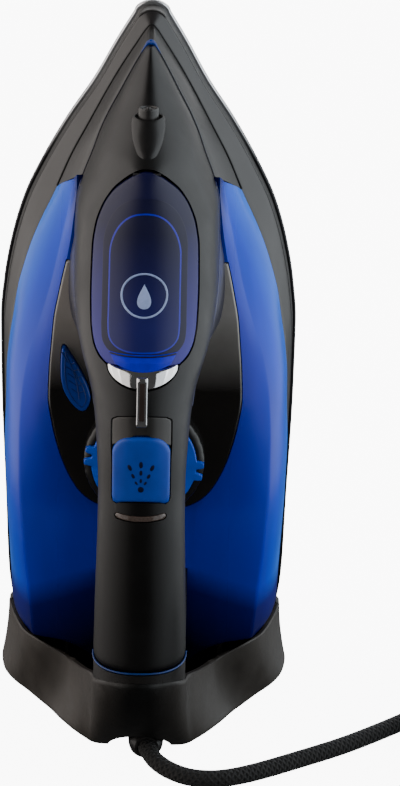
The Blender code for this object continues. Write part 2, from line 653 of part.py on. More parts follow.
def make_hood(parts, cutters):
    stations = [HOOD_FRONT, 268, 263, 257, 250, 243, 236, 229, 221, 211, 201, 190, 180, 172, 165, 158, 150,
                140, 125, 100, 78, HOOD_REAR]
    rings = []
    for s in stations:
        half, edge, top = hood_edge(s)
        wall = min(HOOD_WALL, half * 0.45)
        roof = min(HOOD_WALL, (top - edge) * 0.45)
        outer = [at(x, s, h) for x, h in arch(half, edge, top)]
        inner = [at(x, s, h) for x, h in reversed(arch(half - wall, edge, top - roof))]
        rings.append(outer + inner)
    item = loft("upper_housing", rings, parts)
    cowl = []
    for s, h, radius in [(237.0, 92.0, 1.0), (240.0, 87.6, 3.6), (244.0, 80.5, 5.6), (248.0, 74.4, 6.2),
                         (250.6, 72.6, 5.6)]:
        cowl.append([at(radius * math.cos(a), s, h + radius * math.sin(a) * 0.95)
                     for a in spread(0, 2 * math.pi, 15)[:-1]])
    item = combine(item, loft("nozzle_cowl", cowl, cutters), "UNION")
    item = combine(item, rod("nozzle_bore", 4.1, at(0, 244.5, 73.6), at(0, 262, 73.6), cutters, 16))

    stations = ([166.6, 167.6, 169, 171, 173, LID_REAR] + [s for s, _ in LID_HALF[1:-1]]
                + [LID_FRONT + 0.2, LID_SWEEP])
    opening = patch("lid_opening", stations,
                    lambda s: lid_span(s, 0.7), lambda x, s: crown(x, s) + 8, 22, cutters)
    item = combine(item, opening)
    item = combine(item, rod("pin_holes", LID_PIN + 0.1, at(-5.5, LID_PIN_S, LID_PIN_H),
                             at(5.5, LID_PIN_S, LID_PIN_H), cutters, 12))
    buttons = patch_across("button_opening", spread(-BURST_HALF - 0.5, BURST_HALF + 0.5, 9),
                           lambda x: (SPRAY_REAR - 0.5, BURST_FRONT + 0.5),
                           lambda x, s: crown(x, s) + 6, 14, cutters)
    item = combine(item, buttons)
    item = combine(item, block("lever_slot", (-1.9, 161.9, 130), (1.9, 170.0, 160), cutters))
    lens = patch_across("lens_opening", spread(-9.7, 9.7, 7), lambda x: lens_span(x, 0.35),
                        lambda x, s: crown(x, s) + 4, 12, cutters)
    item = combine(item, lens)
    paint(item, BLACK, 0.35)

    nozzle = turned("spray_nozzle", [(0, 9), (1.0, 9), (1.0, 8.2), (3.0, 8.2), (3.8, 7.6), (3.8, 0), (0, 0)],
                    at(0, 245.2, 73.6), at(0, 254.2, 73.6), parts, 20)
    paint(nozzle, BLACK, 0.3)


def lid_span(s, grow):
    """The lid's reach in x at a station, and the crescent's behind it."""
    if s < LID_REAR:
        t = (LID_REAR - s) / 8
        half = CRESCENT_HALF * math.sqrt(max(0.02, 1 - t * t)) + grow
        return -half, half
    if s > LID_FRONT:
        return -6.6, 6.6
    half = smooth(LID_HALF, s) + grow
    return -half, half


def lens_span(x, grow):
    """The indicator lens is a smile: its ends lie nearer the nose."""
    bend = 3.1 * (abs(x) / 9.3) ** 2
    return 118.0 + bend - grow, 120.6 + bend * 0.55 + grow


def make_lid(parts, cutters):
    stations = [LID_REAR] + [s for s, _ in LID_HALF[1:]]
    item = patch("lid", stations, lambda s: lid_span(s, 0.0), lambda x, s: crown(x, s, 0.2), LID_WALL,
                 parts, 9)
    barrel = rod("lid_barrel", 1.2, at(-2.9, LID_PIN_S, LID_PIN_H), at(2.9, LID_PIN_S, LID_PIN_H),
                 cutters, 16)
    item = combine(item, barrel, "UNION")
    bore = rod("lid_bore", LID_PIN + 0.1, at(-8, LID_PIN_S, LID_PIN_H), at(8, LID_PIN_S, LID_PIN_H), cutters, 12)
    item = combine(item, bore)
    paint(item, DEEP_BLUE, 0.1)
    pin = rod("lid_pin", LID_PIN, at(-5.2, LID_PIN_S, LID_PIN_H), at(5.2, LID_PIN_S, LID_PIN_H), parts, 12)
    paint(pin, GREY_METAL, 0.3, 1.0)


def make_filler(parts, cutters):
    """The tray under the lid lies round the filler neck, which goes down to the tank."""
    tray = patch("filler_tray", [178, 190, 205, 220, 229],
                 lambda s: (-min(15.5, smooth(LID_HALF, s) - 2.5), min(15.5, smooth(LID_HALF, s) - 2.5)),
                 lambda x, s: crown(x, s, 3.6), 2.0, parts)
    tray = combine(tray, block("tray_slot", (-8.6, 191.5, 60), (8.6, 208.5, 140), cutters))
    paint(tray, DEEP_BLUE, 0.2)
    neck = turned("filler_neck", [(9.6, 0), (8.2, 0), (8.2, 51), (9.6, 51)],
                  at(0, 200, 49.4), at(0, 200, 99.4), parts, 20)
    paint(neck, DEEP_BLUE, 0.2)
    seal = turned("filler_seal", [(11.4, 0), (9.9, 0), (9.9, 3), (11.4, 3)], at(0, 200, 94), at(0, 200, 97),
                  parts, 20)
    paint(seal, RUBBER, 0.7)


def make_crescent(parts, cutters):
    xs = spread(-CRESCENT_HALF + 0.5, CRESCENT_HALF - 0.5, 11)
    item = patch_across("chrome_crescent", xs,
                        lambda x: (168.0 + 5.2 * (x / CRESCENT_HALF) ** 2, 173.0 + 1.2 * (x / CRESCENT_HALF) ** 2),
                        lambda x, s: crown(x, s, 0.2), CRESCENT_WALL, parts, 3)
    item = combine(item, block("crescent_slot", (-2.2, 160, 120), (2.2, 171.2, 160), cutters))
    paint(item, CHROME, 0.08, 1.0)


def make_lever(parts, cutters):
    frame = flat("steam_lever", [(155.6, 148.2), (171.6, 141.7), (171.9, 143.1), (171.0, 144.0),
                                 (156.4, 149.8), (155.4, 149.5)], -2.0, 2.0, parts, "side")
    stem = flat("lever_stem", [(163.6, 145.6), (166.2, 145.0), (166.2, 129.4), (173.6, 129.4),
                               (173.6, 126.4), (163.6, 126.4)], -1.5, 1.5, cutters, "side")
    frame = combine(frame, stem, "UNION")
    inlay = flat("lever_groove", [(157.0, 148.8), (157.5, 151.0), (171.5, 146.0), (170.4, 143.5)],
                 -1.1, 1.1, cutters, "side")
    frame = combine(frame, inlay)
    paint(frame, CHROME, 0.1, 1.0)
    insert = flat("steam_lever_insert", [(157.4, 149.0), (157.6, 149.4), (170.1, 144.4), (170.0, 143.95)],
                  -0.8, 0.8, parts, "side")
    paint(insert, BLACK, 0.3)
    needle = turned("valve_needle", [(0, 107), (2.6, 107), (2.6, 105.4), (1.4, 105.4), (1.4, 3), (0.4, 0),
                                     (0, 0)], at(0, 171.5, 17), at(0, 171.5, 124), parts, 12)
    paint(needle, GREY_METAL, 0.3, 1.0)
    valve = turned("drip_valve", [(6, 0), (1.8, 0), (1.8, 14), (4.4, 14), (6, 8)], at(0, 171.5, 13.6),
                   at(0, 171.5, 27.6), parts, 16)
    paint(valve, CREAM, 0.5)


def spray_arch(x):
    """The arched front edge of the spray button."""
    return SPRAY_APEX - SPRAY_SHOULDER * (abs(x) / BUTTON_HALF) ** SPRAY_SQUARENESS


def make_buttons(parts, cutters):
    xs = spread(-BUTTON_HALF, BUTTON_HALF, 9)
    item = patch_across("spray_button", xs, lambda x: (SPRAY_REAR, spray_arch(x)),
                        lambda x, s: crown(x, s) + SPRAY_PROUD, 4.6, parts, 5)
    paint(item, BUTTON_BLUE, 0.35)
    xs = spread(-BURST_HALF, BURST_HALF, 9)
    item = patch_across("burst_button", xs,
                        lambda x: (spray_arch(min(abs(x), BUTTON_HALF)) + 0.5, BURST_FRONT),
                        lambda x, s: crown(x, s, 0.2), 3.4, parts, 3)
    paint(item, BLACK, 0.2)
    for name, s, top in (("spray", 139.0, 144.0), ("burst", 155.4, 142.8)):
        pump = turned(name + "_pump", [(4.6, 0), (0.8, 0), (0.8, 1.5), (2.6, 1.5), (2.6, 11), (4.6, 11)],
                      at(0, s, 122.6), at(0, s, 133.6), parts, 16)
        paint(pump, CREAM, 0.5)
        piston = rod(name + "_piston", 2.2, at(0, s, 128.6), at(0, s, top), parts, 12)
        paint(piston, CREAM, 0.5)
        spring = wire(name + "_spring", helix(0, s, 134.4, top - 1.0, 3.3, 4), 0.4, parts, 0)
        paint(spring, GREY_METAL, 0.3, 1.0)


def make_indicator(parts, cutters):
    item = patch_across("indicator_lens", spread(-9.3, 9.3, 7), lambda x: lens_span(x, 0.0),
                        lambda x, s: crown(x, s) + 0.1, 2.2, parts, 3)
    paint(item, (0.12, 0.10, 0.09), 0.15)
    item = block("indicator_board", (-8, 110, 136), (8, 124.5, 137.6), parts)
    paint(item, (0.02, 0.12, 0.05), 0.5)


def make_grip(parts, cutters):
    """The finger side of the handle: along the grip's underside and down the front column."""
    route = [(66, 118.4), (80, 118.0), (100, 118.0), (120, 118.2), (130, 117.4), (137, 114.6), (141.6, 109),
             (146, 101), (151, 91), (156.5, 80), (161, 70.6)]
    rings = []
    for k, (s, h) in enumerate(route):
        before, after = route[max(0, k - 1)], route[min(len(route) - 1, k + 1)]
        along = Vector((after[0] - before[0], after[1] - before[1])).normalized()
        into = Vector((-along.y, along.x))
        half = smooth([(66, 16.9), (122, 15.6), (141, 15.4), (161, 16.4)], s)
        wall = 2.2
        deep = smooth([(66, 9.2), (112, 8.2), (130, 5.4), (141, 7.2), (150, 12.0), (161, 13.0)], s)
        outer = [(half, deep), (half, 5.0), (half - 1.6, 1.9), (half - 5.0, 0.0), (-half + 5.0, 0.0),
                 (-half + 1.6, 1.9), (-half, 5.0), (-half, deep)]
        inner = [(-half + wall, deep), (-half + wall, 5.4), (-half + 3.6, 3.2), (-half + 5.6, wall),
                 (half - 5.6, wall), (half - 3.6, 3.2), (half - wall, 5.4), (half - wall, deep)]
        rings.append([at(x, s + into.x * d, h + into.y * d) for x, d in outer + inner])
    item = loft("grip_underside", rings, parts)
    paint(item, BLACK, 0.5)


def make_strips(parts, cutters):
    """The dark walls between the hood's side edges and the console."""
    for side, name in ((-1, "neck_wall_left"), (1, "neck_wall_right")):
        rings = []
        for s in (168, 174, 180, 186, 192, 198, 205, 212):
            foot, half = smooth(STRIP_FOOT, s), smooth(HOOD_HALF, s)
            low = smooth(DECK_HEIGHT, s) + 1.6
            high = smooth(HOOD_EDGE, s) - 0.5
            high = max(high, low + 0.8)
            ring = [(foot, low), (min(half - 0.4, foot), high), (min(half - 0.4, foot) - 1.8, high),
                    (foot - 1.8, low)]
            rings.append([at(side * x, s, h) for x, h in ring])
        item = loft(name, rings, parts)
        paint(item, DEEP_BLUE, 0.15)


def make_column(parts, cutters):
    """The handle's rear column, from the tank's slot up to the heel cover's edge and the trim ring."""
    side = [(64.6, 60), (64.6, 112), (62.5, 116.4), (57.2, 118.4), (56.2, 119.4), (56.2, 149.5), (53.2, 149.5),
            (52.6, 147.0), (50.0, 138.0), (44.7, 125.0), (38.7, 108.0), (33.6, 94.0), (31.6, 84.0),
            (31.6, 60)]
    item = flat("rear_column", side, -20.0, 20.0, parts, "side")
    rings = []
    for s in (20, 40, 57, 80):
        half = smooth(HOOD_HALF, max(s, 57)) - 0.1
        top = arch(half, 128.0, 149.0)
        rings.append([at(half, s, 50)] + [at(x, s, h) for x, h in top] + [at(-half, s, 50)])
    item = combine(item, loft("column_form", rings, cutters), "INTERSECT")
    hollow = block("column_hollow", (-13.5, 34.5, 50), (13.5, 61.6, 108), cutters)
    item = combine(item, hollow)
    paint(item, BLACK, 0.5)


def make_trim_ring(parts, cutters):
    """A thin blue line between the handle's hood and its rear column."""
    over = [at(x, 57.0, h) for x, h in arch(17.55, 128.0, 149.05, 17)]
    item = wire("trim_ring", over, 0.48, parts, 0)
    paint(item, BUTTON_BLUE, 0.3)


def make_dial(parts, cutters):
    radius = DIAL_RADIUS
    knob = turned("dial_knob", [(radius - 0.6, 0), (4.0, 0), (4.0, -1.4), (2.9, -1.4), (2.9, 5.6),
                                (radius - 2.4, 5.6), (radius - 1.0, 5.2), (radius, 4.0)][::-1],
                  at(0, DIAL_S, DIAL_FOOT), at(0, DIAL_S, DIAL_FOOT + 6), parts, 40)
    paint(knob, BLACK, 0.2)
    outline = []
    for k in range(72):
        angle = math.radians(k * 5)
        turn = (angle + math.pi / 2) % math.pi - math.pi / 2
        offset = abs(abs(math.degrees(turn)) - 6.5)
        reach = 24.2 if offset < 3.5 else 20.4
        outline.append((reach * math.cos(angle - DIAL_TURN), DIAL_S + reach * math.sin(angle - DIAL_TURN)))
    disc = flat("dial_disc", outline, DIAL_FOOT + 5.9, DIAL_FOOT + 7.6, parts)
    paint(disc, BUTTON_BLUE, 0.3)
    shaft = rod("thermostat_shaft", 2.5, at(0, DIAL_S, 22.4), at(0, DIAL_S, DIAL_FOOT + 5.5), parts, 14)
    paint(shaft, CREAM, 0.5)


# ---------------------------------------------------------------- the heel and the cord

def heel_rings(wall):
    """Sections of the heel cover, from its foot rim to its front edge, flaring near the foot. With
    a wall they are those of its hollow, which starts above the back and runs out at the front."""
    rings = []
    for t in HEEL_STEPS + ((1.35,) if wall else ()):
        lean = 1 - max(0.0, 1 - t) ** 1.7
        right = []
        for (x0, h0), (x1, h1, s1) in zip(HEEL_RIM, HEEL_FRONT):
            right.append((x0 + (x1 - x0) * lean, h0 + (h1 - h0) * lean, s1 * t + HEEL_BACK * (1 - t) * bool(wall)))
        loop = right + [(-x, h, s) for x, h, s in reversed(right[1:-1])]
        section = inset([(x, h) for x, h, _ in loop], wall)
        rings.append([at(x, s, h) for (x, h), (_, _, s) in zip(section, loop)])
    return rings


def make_heel(parts, cutters):
    item = loft("heel_cover", heel_rings(0.0), parts)
    item = combine(item, loft("heel_hollow", heel_rings(HEEL_WALL), cutters))
    profile = [(NOTCH_HALF * math.cos(a), max(-2.0, NOTCH_TOP * math.sin(a)))
               for a in spread(0, math.pi, 13)]
    profile = [(NOTCH_HALF, -4.0)] + profile + [(-NOTCH_HALF, -4.0)]
    notch = flat("heel_notch", profile, NOTCH_DEEP, 130.0, cutters)
    item = combine(item, notch)
    for side in (-1, 1):
        hole = rod("screw_hole", 2.2, at(side * 32, -5, 28), at(side * 32, 12, 28), cutters, 12)
        item = combine(item, hole)
        sink = rod("screw_sink", 4.4, at(side * 32, -5, 28), at(side * 32, 2.2, 28), cutters, 16)
        item = combine(item, sink)
    paint(item, BLACK, 0.5)
    for side, name in ((-1, "heel_screw_left"), (1, "heel_screw_right")):
        screw = turned(name, [(0, 17), (1.6, 17), (1.6, 1.9), (4.0, 1.9), (4.0, 0.2), (0, 0.2)],
                       at(side * 32, 0, 28), at(side * 32, 17, 28), parts, 14)
        paint(screw, GREY_METAL, 0.35, 1.0)
    item = block("terminal_block", (-13, 14, 30), (13, 22, 52), parts, 0.8)
    paint(item, CREAM, 0.5)
    item = block("swivel_bracket", (-16, 4.0, 56), (16, 15.5, 60.5), parts, 0.6)
    paint(item, CREAM, 0.5)


def make_cord(parts, cutters):
    ball, collar = at(*SWIVEL_BALL), at(*SWIVEL_COLLAR)
    reach = (collar - ball).length / MM
    profile = [(0, -6.8), (3.2, -6.4), (5.9, -3.8), (6.6, 0), (5.9, 3.4), (5.2, 6.0), (5.3, reach - 10),
               (5.7, reach - 7.2), (6.85, reach - 5.4), (6.85, reach + 0.6), (5.9, reach + 3.2),
               (4.9, reach + 5.0), (0, reach + 5.0)][::-1]
    item = turned("cord_swivel", profile, ball, collar, parts, 20)
    paint(item, RUBBER, 0.5)

    item = wire("cord", flowing(CORD_ROUTE, 13), CORD / 2, parts)
    paint(item, RUBBER, 0.8)

    half = COIL_COLUMNS * CORD / 2 + 0.3
    inner, outer = COIL_MIDDLE - half, COIL_MIDDLE + half
    top = CORD + COIL_NEST
    side = [(half, 1.6), (half, 5.4), (half - 3.7, 8.4), (half - 3.7, top - 1.6), (half - 5.3, top)]
    ring = ([(COIL_MIDDLE + reach, z) for reach, z in side]
            + [(COIL_MIDDLE - reach, z) for reach, z in reversed(side)]
            + [(inner + 1.6, 0), (outer - 1.6, 0)])
    centre = Vector((COIL_CENTRE[0] * MM, COIL_CENTRE[1] * MM, COIL_FLOOR * MM))
    item = turned("cord_coil", ring, centre, centre + Vector((0, 0, 1)), parts, 36)
    paint(item, RUBBER, 0.8)

    outer_loop = [(inner - 2.6, 0.1), (outer + 1.8, 0.1), (outer + 1.8, COIL_FLOOR + top + 1.6),
                  (inner - 2.6, COIL_FLOOR + top + 1.6)]
    inner_loop = inset(outer_loop, TIE_WALL)
    rings = []
    for loop, y in ((outer_loop, -TIE_HALF), (outer_loop, TIE_HALF), (inner_loop, TIE_HALF),
                    (inner_loop, -TIE_HALF)):
        rings.append([Vector((COIL_CENTRE[0] + r, COIL_CENTRE[1] + y, z)) * MM for r, z in loop])
    item = loft("cord_tie", rings, parts, closed=True)
    paint(item, RUBBER, 0.9)

    item = wire("cord_tail", flowing(TAIL_ROUTE, 13), CORD / 2, parts)
    paint(item, RUBBER, 0.8)
    make_plug(parts, cutters)


def make_plug(parts, cutters):
    """A round earthed plug, lying on its side with its pins towards -X."""
    y, z = PLUG_AXIS_Y * MM, PLUG_AXIS_Z * MM
    start = Vector((PLUG_BACK * MM, y, z))
    end = start + Vector((-0.1, 0, 0))
    profile = [(0, 0), (9.0, 0), (12.5, 2.0), (16.6, 12.0), (17.2, 20.0), (17.2, 32.0), (15.6, 33.0), (0, 33.0)]
    item = turned("plug_body", profile[::-1], start, end, parts, 28)
    paint(item, RUBBER, 0.4)
    relief = [Vector((171.2, PLUG_AXIS_Y + 0.2, 13.4)), Vector((164, PLUG_AXIS_Y, 14.6)),
              Vector((157, PLUG_AXIS_Y, 16.4)), Vector((PLUG_BACK + 0.3, PLUG_AXIS_Y, PLUG_AXIS_Z))]
    rings = []
    for point, radius in zip(relief, (4.2, 4.9, 5.8, 6.6)):
        rings.append([Vector((point.x * MM, (point.y + radius * math.cos(a)) * MM,
                              (point.z + radius * math.sin(a)) * MM))
                      for a in spread(0, 2 * math.pi, 15)[:-1]])
    item = loft("plug_relief", rings, parts)
    paint(item, RUBBER, 0.5)
    for side, name in ((-1, "plug_pin_left"), (1, "plug_pin_right")):
        foot = start + Vector((-33.3 * MM, side * 9.5 * MM, 0))
        pin = turned(name, [(0, 19), (1.6, 19), (2.4, 17.6), (2.4, 0), (0, 0)], foot,
                     foot + Vector((-0.019, 0, 0)), parts, 12)
        paint(pin, CHROME, 0.25, 1.0)


# ---------------------------------------------------------------- the moving bodies

JOINTS = {
    "dial_axis": ((0, DIAL_S, DIAL_FOOT), ["dial_knob", "dial_disc", "thermostat_shaft"]),
    "lever_axis": ((0, 165, 140), ["steam_lever", "steam_lever_insert"]),
    "needle_axis": ((0, 171.5, 60), ["valve_needle"]),
    "spray_axis": ((0, 139, 149), ["spray_button", "spray_piston"]),
    "burst_axis": ((0, 155.4, 147), ["burst_button", "burst_piston"]),
    "self_clean_axis": ((-27, 144, 71), ["self_clean_button", "self_clean_stem"]),
    "lid_axis": ((0, LID_PIN_S, LID_PIN_H), ["lid"]),
    "cord_axis": (SWIVEL_BALL, ["cord_swivel", "cord", "cord_coil", "cord_tie", "cord_tail", "plug_body",
                                "plug_relief", "plug_pin_left", "plug_pin_right"]),
}


def hang_on_axes(parts):
    for name, (place, pieces) in JOINTS.items():
        empty = bpy.data.objects.new(name, None)
        empty.empty_display_size = 0.01
        empty.location = at(*place)
        parts.objects.link(empty)
        for piece in pieces:
            item = bpy.data.objects[piece]
            item.parent = empty
            item.matrix_parent_inverse = Matrix.Translation(at(*place)).inverted()


def main():
    clear_scene()
    parts = bpy.data.collections.new("steam_iron")
    cutters = bpy.data.collections.new("cutters")
    bpy.context.scene.collection.children.link(parts)
    bpy.context.scene.collection.children.link(cutters)
    for make in (make_soleplate, make_heater, make_thermostat, make_skirts, make_front_shroud, make_tank,
                 make_console, make_self_clean, make_hood, make_lid, make_filler, make_crescent, make_lever,
                 make_buttons, make_indicator, make_grip, make_strips, make_column, make_trim_ring,
                 make_dial, make_heel, make_cord):
        make(parts, cutters)
    for item in list(cutters.objects):
        item.hide_render = True
        item.display_type = "WIRE"
    hang_on_axes(parts)


main()
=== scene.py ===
import math
import bmesh
import bpy
from mathutils import Matrix, Vector


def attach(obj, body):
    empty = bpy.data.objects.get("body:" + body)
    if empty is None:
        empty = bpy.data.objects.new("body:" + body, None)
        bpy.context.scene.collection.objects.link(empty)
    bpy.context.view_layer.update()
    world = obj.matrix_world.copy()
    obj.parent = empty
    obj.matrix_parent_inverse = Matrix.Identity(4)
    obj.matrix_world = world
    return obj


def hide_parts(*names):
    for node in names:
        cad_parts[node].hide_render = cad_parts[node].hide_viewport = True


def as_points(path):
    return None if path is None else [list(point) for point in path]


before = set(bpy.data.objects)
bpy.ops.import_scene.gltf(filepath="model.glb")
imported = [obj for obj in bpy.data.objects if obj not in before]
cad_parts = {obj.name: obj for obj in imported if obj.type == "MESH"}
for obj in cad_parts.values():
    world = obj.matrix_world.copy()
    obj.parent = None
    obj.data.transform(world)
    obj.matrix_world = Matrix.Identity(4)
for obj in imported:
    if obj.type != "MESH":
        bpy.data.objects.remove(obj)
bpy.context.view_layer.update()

MM = 0.001
SOLE_Y = 75.0

# ------------------------------------------------------------------ sizes in mm, as x, s and h of at()
NOSE = 279.0
NOSE_RADIUS = 9.0
PLATE = 4.0
SOLE_HALF = [(21.5, 53.4), (25, 55.2), (40, 57), (70, 58), (122, 59.7), (148, 59.9), (165, 58.4),
             (182, 55.3), (199, 50.3), (215, 42.8), (232, 33.1), (248, 22.5), (264, 13.6), (275, 6.9)]
SHELL_NOSE = 272.9
SHELL_HALF = [(28, 54.4), (51, 55.4), (81, 56.7), (104, 57.1), (120, 56.4), (135, 56), (148, 54.7),
              (158, 53.1), (169, 51.4), (179, 48.8), (188, 45.9), (196, 42.6), (208, 36.8), (222, 30.6),
              (235, 23.6), (247, 17.1), (257, 11.3), (267, 4.8)]
SHELL_HEIGHT = [(28, 17), (63, 19), (104, 24), (148, 28.5), (180, 30), (205, 27), (247, 21), (273, 18)]
HOOD_HALF = [(57, 17.5), (82, 17), (122, 16.2), (143, 17.2), (156, 18.7), (163.5, 20.8), (171, 23.7),
             (179, 26), (190, 27.2), (201, 27.4), (214, 27), (221, 25.3), (231, 21.3), (238, 18.7),
             (245, 15.4), (251, 12), (258, 8.1), (263, 5.2), (268.8, 1.6)]
HOOD_EDGE = [(57, 128), (110, 127), (130, 124), (143, 120), (156, 114), (163.5, 107), (171, 98),
             (179, 87.5), (190, 78), (201, 68), (214, 58), (221, 53), (231, 48.5), (245, 43.5),
             (258, 39), (270.5, 34)]
HOOD_TOP = [(57, 149), (140, 149), (150, 148.4), (158, 147), (165, 144.3), (173, 140), (200, 121.5),
            (225, 104.5), (236, 97), (243, 84), (250, 70), (258, 58), (263, 50), (270.5, 36.5)]
HOOD_POWER = [(57, 2.4), (214, 2.4), (228, 2.15), (238, 1.98), (248, 1.86), (258, 1.8), (271, 1.75)]
LID_FRONT = 235.6
LID_REAR = 174.4
LID_HALF = [(174.4, 13.4), (176.5, 16.2), (180, 18.2), (186, 19.2), (197, 19.6), (209, 19.4),
            (216, 18.4), (222, 16.2), (228, 12.3), (232, 8), (234.6, 4.2), (235.6, 1.6)]
CRESCENT_HALF = 13.2
BUTTON_HALF = 10.5
SPRAY_REAR = 126.0
BURST_HALF = 10.8
CREASE_HALF = [(28, 43.5), (52, 45.6), (74, 48), (99, 49.4), (115, 49.4), (132, 48.6), (148, 46.2),
               (164, 41.5), (180, 36.9), (193, 34), (208, 30.6), (216, 29)]
CREASE_HEIGHT = [(28, 61), (52, 62), (99, 60), (132, 58), (164, 56), (180, 53), (193, 50), (208, 46),
                 (216, 45)]
DECK_HALF = [(28, 19.5), (88, 19.5), (99, 25.8), (106, 29.8), (115, 33.2), (125, 35.7), (137, 37.4),
             (149, 37), (159, 36.2), (168, 35.4), (176, 33.9), (188, 31.3), (200, 29.2), (216, 27.4)]
DECK_HEIGHT = [(28, 67), (99, 69), (139, 68), (160, 66), (176, 62), (190, 58), (200, 56.5), (216, 54)]
CONSOLE_HALF = [(89.5, 8), (91, 13), (93.5, 19.3), (95.5, 22.3), *DECK_HALF[2:11], (184, 32.2), (189, 31)]
STRIP_FOOT = [(160, 25.6), (166, 27.6), (171, 29.2), (180, 30.2), (189.5, 29.9), (200, 28), (212, 26.4)]
DIAL_S = 113.0
DIAL_RADIUS = 23.5
DIAL_FOOT = 70.0
DIAL_TURN = math.radians(7.5)
HEEL_RIM = [(0, 5), (30, 5), (50, 5), (58.2, 6.6), (59.6, 11), (57.8, 25), (53.4, 35.7), (47.5, 45),
            (42.1, 54.3), (37, 63), (32.8, 71.5), (27, 81.5), (21.6, 89), (19, 91.8), (15.4, 93.2),
            (7, 93.4), (0, 93.4)]
HEEL_FRONT = [(0, 5, 20.9), (30, 5, 20.9), (47, 5, 20.9), (54.8, 7, 21.6), (56.2, 14, 27.6),
              (53.6, 32, 29.3), (48.5, 53, 31.2), (42, 62.6, 31), (35.6, 66.4, 28.9), (31.3, 69, 27.3),
              (27.7, 73.5, 26.7), (23.4, 86, 29.8), (19, 108, 38), (17.7, 125, 44), (14, 138, 49.3),
              (6.5, 145.6, 51.4), (0, 147.2, 52)]
HEEL_WALL = 2.4
HEEL_BACK = 3.0
NOTCH_HALF = 12.4
NOTCH_TOP = 16.4
CORD = 7.0
SWIVEL_BALL = (0.3, 10.0, 72.0)
SWIVEL_COLLAR = (2.6, 7.4, 104.7)
CORD_ROUTE = [(3.3, -36.2, 6.9), (6.1, -42.6, 6.1), (11.7, -48.5, 4.8), (19.1, -52.4, 3.9),
              (27.3, -53.6, 3.7), (35.5, -51.9, 3.7), (46.9, -46, 3.7), (62.6, -35.4, 3.7),
              (78.6, -24, 3.7), (92, -12.6, 3.7), (104, -1.6, 3.8), (113.2, 6.6, 4.2)]
COIL_CENTRE = (163.5, -23.1)
COIL_MIDDLE = 40.0
COIL_FLOOR = 1.9
TAIL_ROUTE = [(210.5, -53.5, 12.4), (210.2, -61, 11.2), (207.8, -71.5, 9.8), (201.6, -81.6, 9),
              (192.2, -89.4, 9.2), (181.6, -94.2, 10.8), (172.6, -95.6, 12.9)]
PLUG_AXIS_Y = -95.6
PLUG_AXIS_Z = 17.4
PLUG_BACK = 150.0
STEAM_HOLES = [(40, 80), (45, 105), (45, 130), (42, 155), (34, 180), (24, 203), (14, 226), (22, 150),
               (15, 185)]
HOLE_PROFILE = [(0, -1), (3, -1), (2.6, 0.3), (1.8, 1.1), (1.5, 1.6), (1.5, 6), (0, 6)]
SHELL_TUCKS = [(0, 0.5), (0.02, 0.15), (0.06, 0), (0.2, 0), (0.4, 0), (0.6, 0), (0.8, 0), (0.94, 0),
               (0.98, 0.15), (1, 0.45), (1, 1.2), (0, 1.2)]
TANK_REAR = [(0, 28.3), (0.3, 30.8), (0.55, 32.4), (0.78, 31.9), (1, 25.4)]
TANK_FRONT = [(0, 211), (0.3, 219), (0.55, 225), (1, 227)]
LEAF_TOP = 71.6
LEAF_VEINS = [((-28.9, 151.4), 1.9), ((-27.9, 148.5), 2.5), ((-27.1, 145.6), 2.9), ((-26.4, 142.6), 3),
              ((-25.9, 139.6), 2.6)]
KNOB_PROFILE = [(3, 5.6), (2.2, 5.55), (1.3, 5.35), (0.6, 5), (0.15, 4.4), (0, 3.8), (0, 2.4), (0.2, 1),
                (0.5, 0.3), (0.8, 0)]
NOZZLE_H = 73.6
COWL = [(236.6, 92.6, 0.4), (237.4, 91.4, 1.6), (238.6, 89.6, 2.9), (240, 87.6, 3.9), (242, 84.2, 5),
        (244, 80.6, 5.8), (246, 77.4, 6.2), (248, 74.9, 6.4), (249.6, 73.6, 6.3), (250.4, 73.1, 6.05),
        (250.8, 72.9, 5.6)]
NOZZLE_PROFILE = [(0, 8.9), (0.45, 8.9), (0.55, 9.05), (0.9, 9.05), (1.1, 8.4), (2.9, 8.4), (3.1, 8.9),
                  (3.4, 9), (3.7, 8.7), (3.8, 8.2), (3.8, 0), (0, 0)]
LID_PANEL = (13.1, 180.0, 222.5, 4.6)
DOTS_FOOT = 131.1
SPRAY_DOTS = [(0, DOTS_FOOT, 1.15, 1), (0, 140.7, 1.3, 0.55), (0, 137.6, 1.05, 0.57),
              (0, 134.5, 0.85, 0.55)]
SPRAY_SIDE_DOTS = [(4.1, 139.5, 1.25, 0.55), (2.85, 136.3, 1, 0.57), (1.65, 133.6, 0.8, 0.55)]
GRIP_ROUTE = [(66, 118.4), (80, 118), (100, 118), (120, 118.2), (130, 117.4), (137, 114.6), (141.6, 109),
              (146, 101), (151, 91), (156.5, 80), (161, 70.6)]
GRIP_HALF = [(66, 16.9), (122, 15.6), (141, 15.4), (161, 16.4)]
GRIP_DEPTH = [(66, 9.2), (112, 8.2), (130, 5.4), (141, 7.2), (150, 12), (161, 13)]
COLUMN_SIDE = [(64.6, 60), (64.6, 112), (62.5, 116.4), (57.2, 118.4), (56.2, 119.4), (56.2, 149.5),
               (53.2, 149.5), (52.6, 147), (50, 138), (44.7, 125), (38.7, 108), (33.6, 94), (31.6, 84),
               (31.6, 60)]
SCREW_X = 32
SCREW_H = 28
SCREW_PROFILE = [(0, 17), (1.4, 17), (1.6, 16), (1.6, 2.4), (4, 1.9), (4, 0.7), (3.7, 0.35), (3, 0.2),
                 (0, 0.2)]
NECK_PROFILE = [(9.6, 0.3), (9.4, 0), (8.4, 0), (8.2, 0.3), (8.2, 50.7), (8.4, 51), (9.4, 51),
                (9.6, 50.7), (9.6, 0.3)]


# ------------------------------------------------------------------ shape helpers
def at(x, s, h):
    """The world point of an iron coordinate: x across, s along, h away from the sole, in mm."""
    return Vector((x * MM, (SOLE_Y - h) * MM, s * MM))


def level(outline, h):
    """The world points of an outline in (x, s) at one height above the sole."""
    return [at(x, s, h) for x, s in outline]


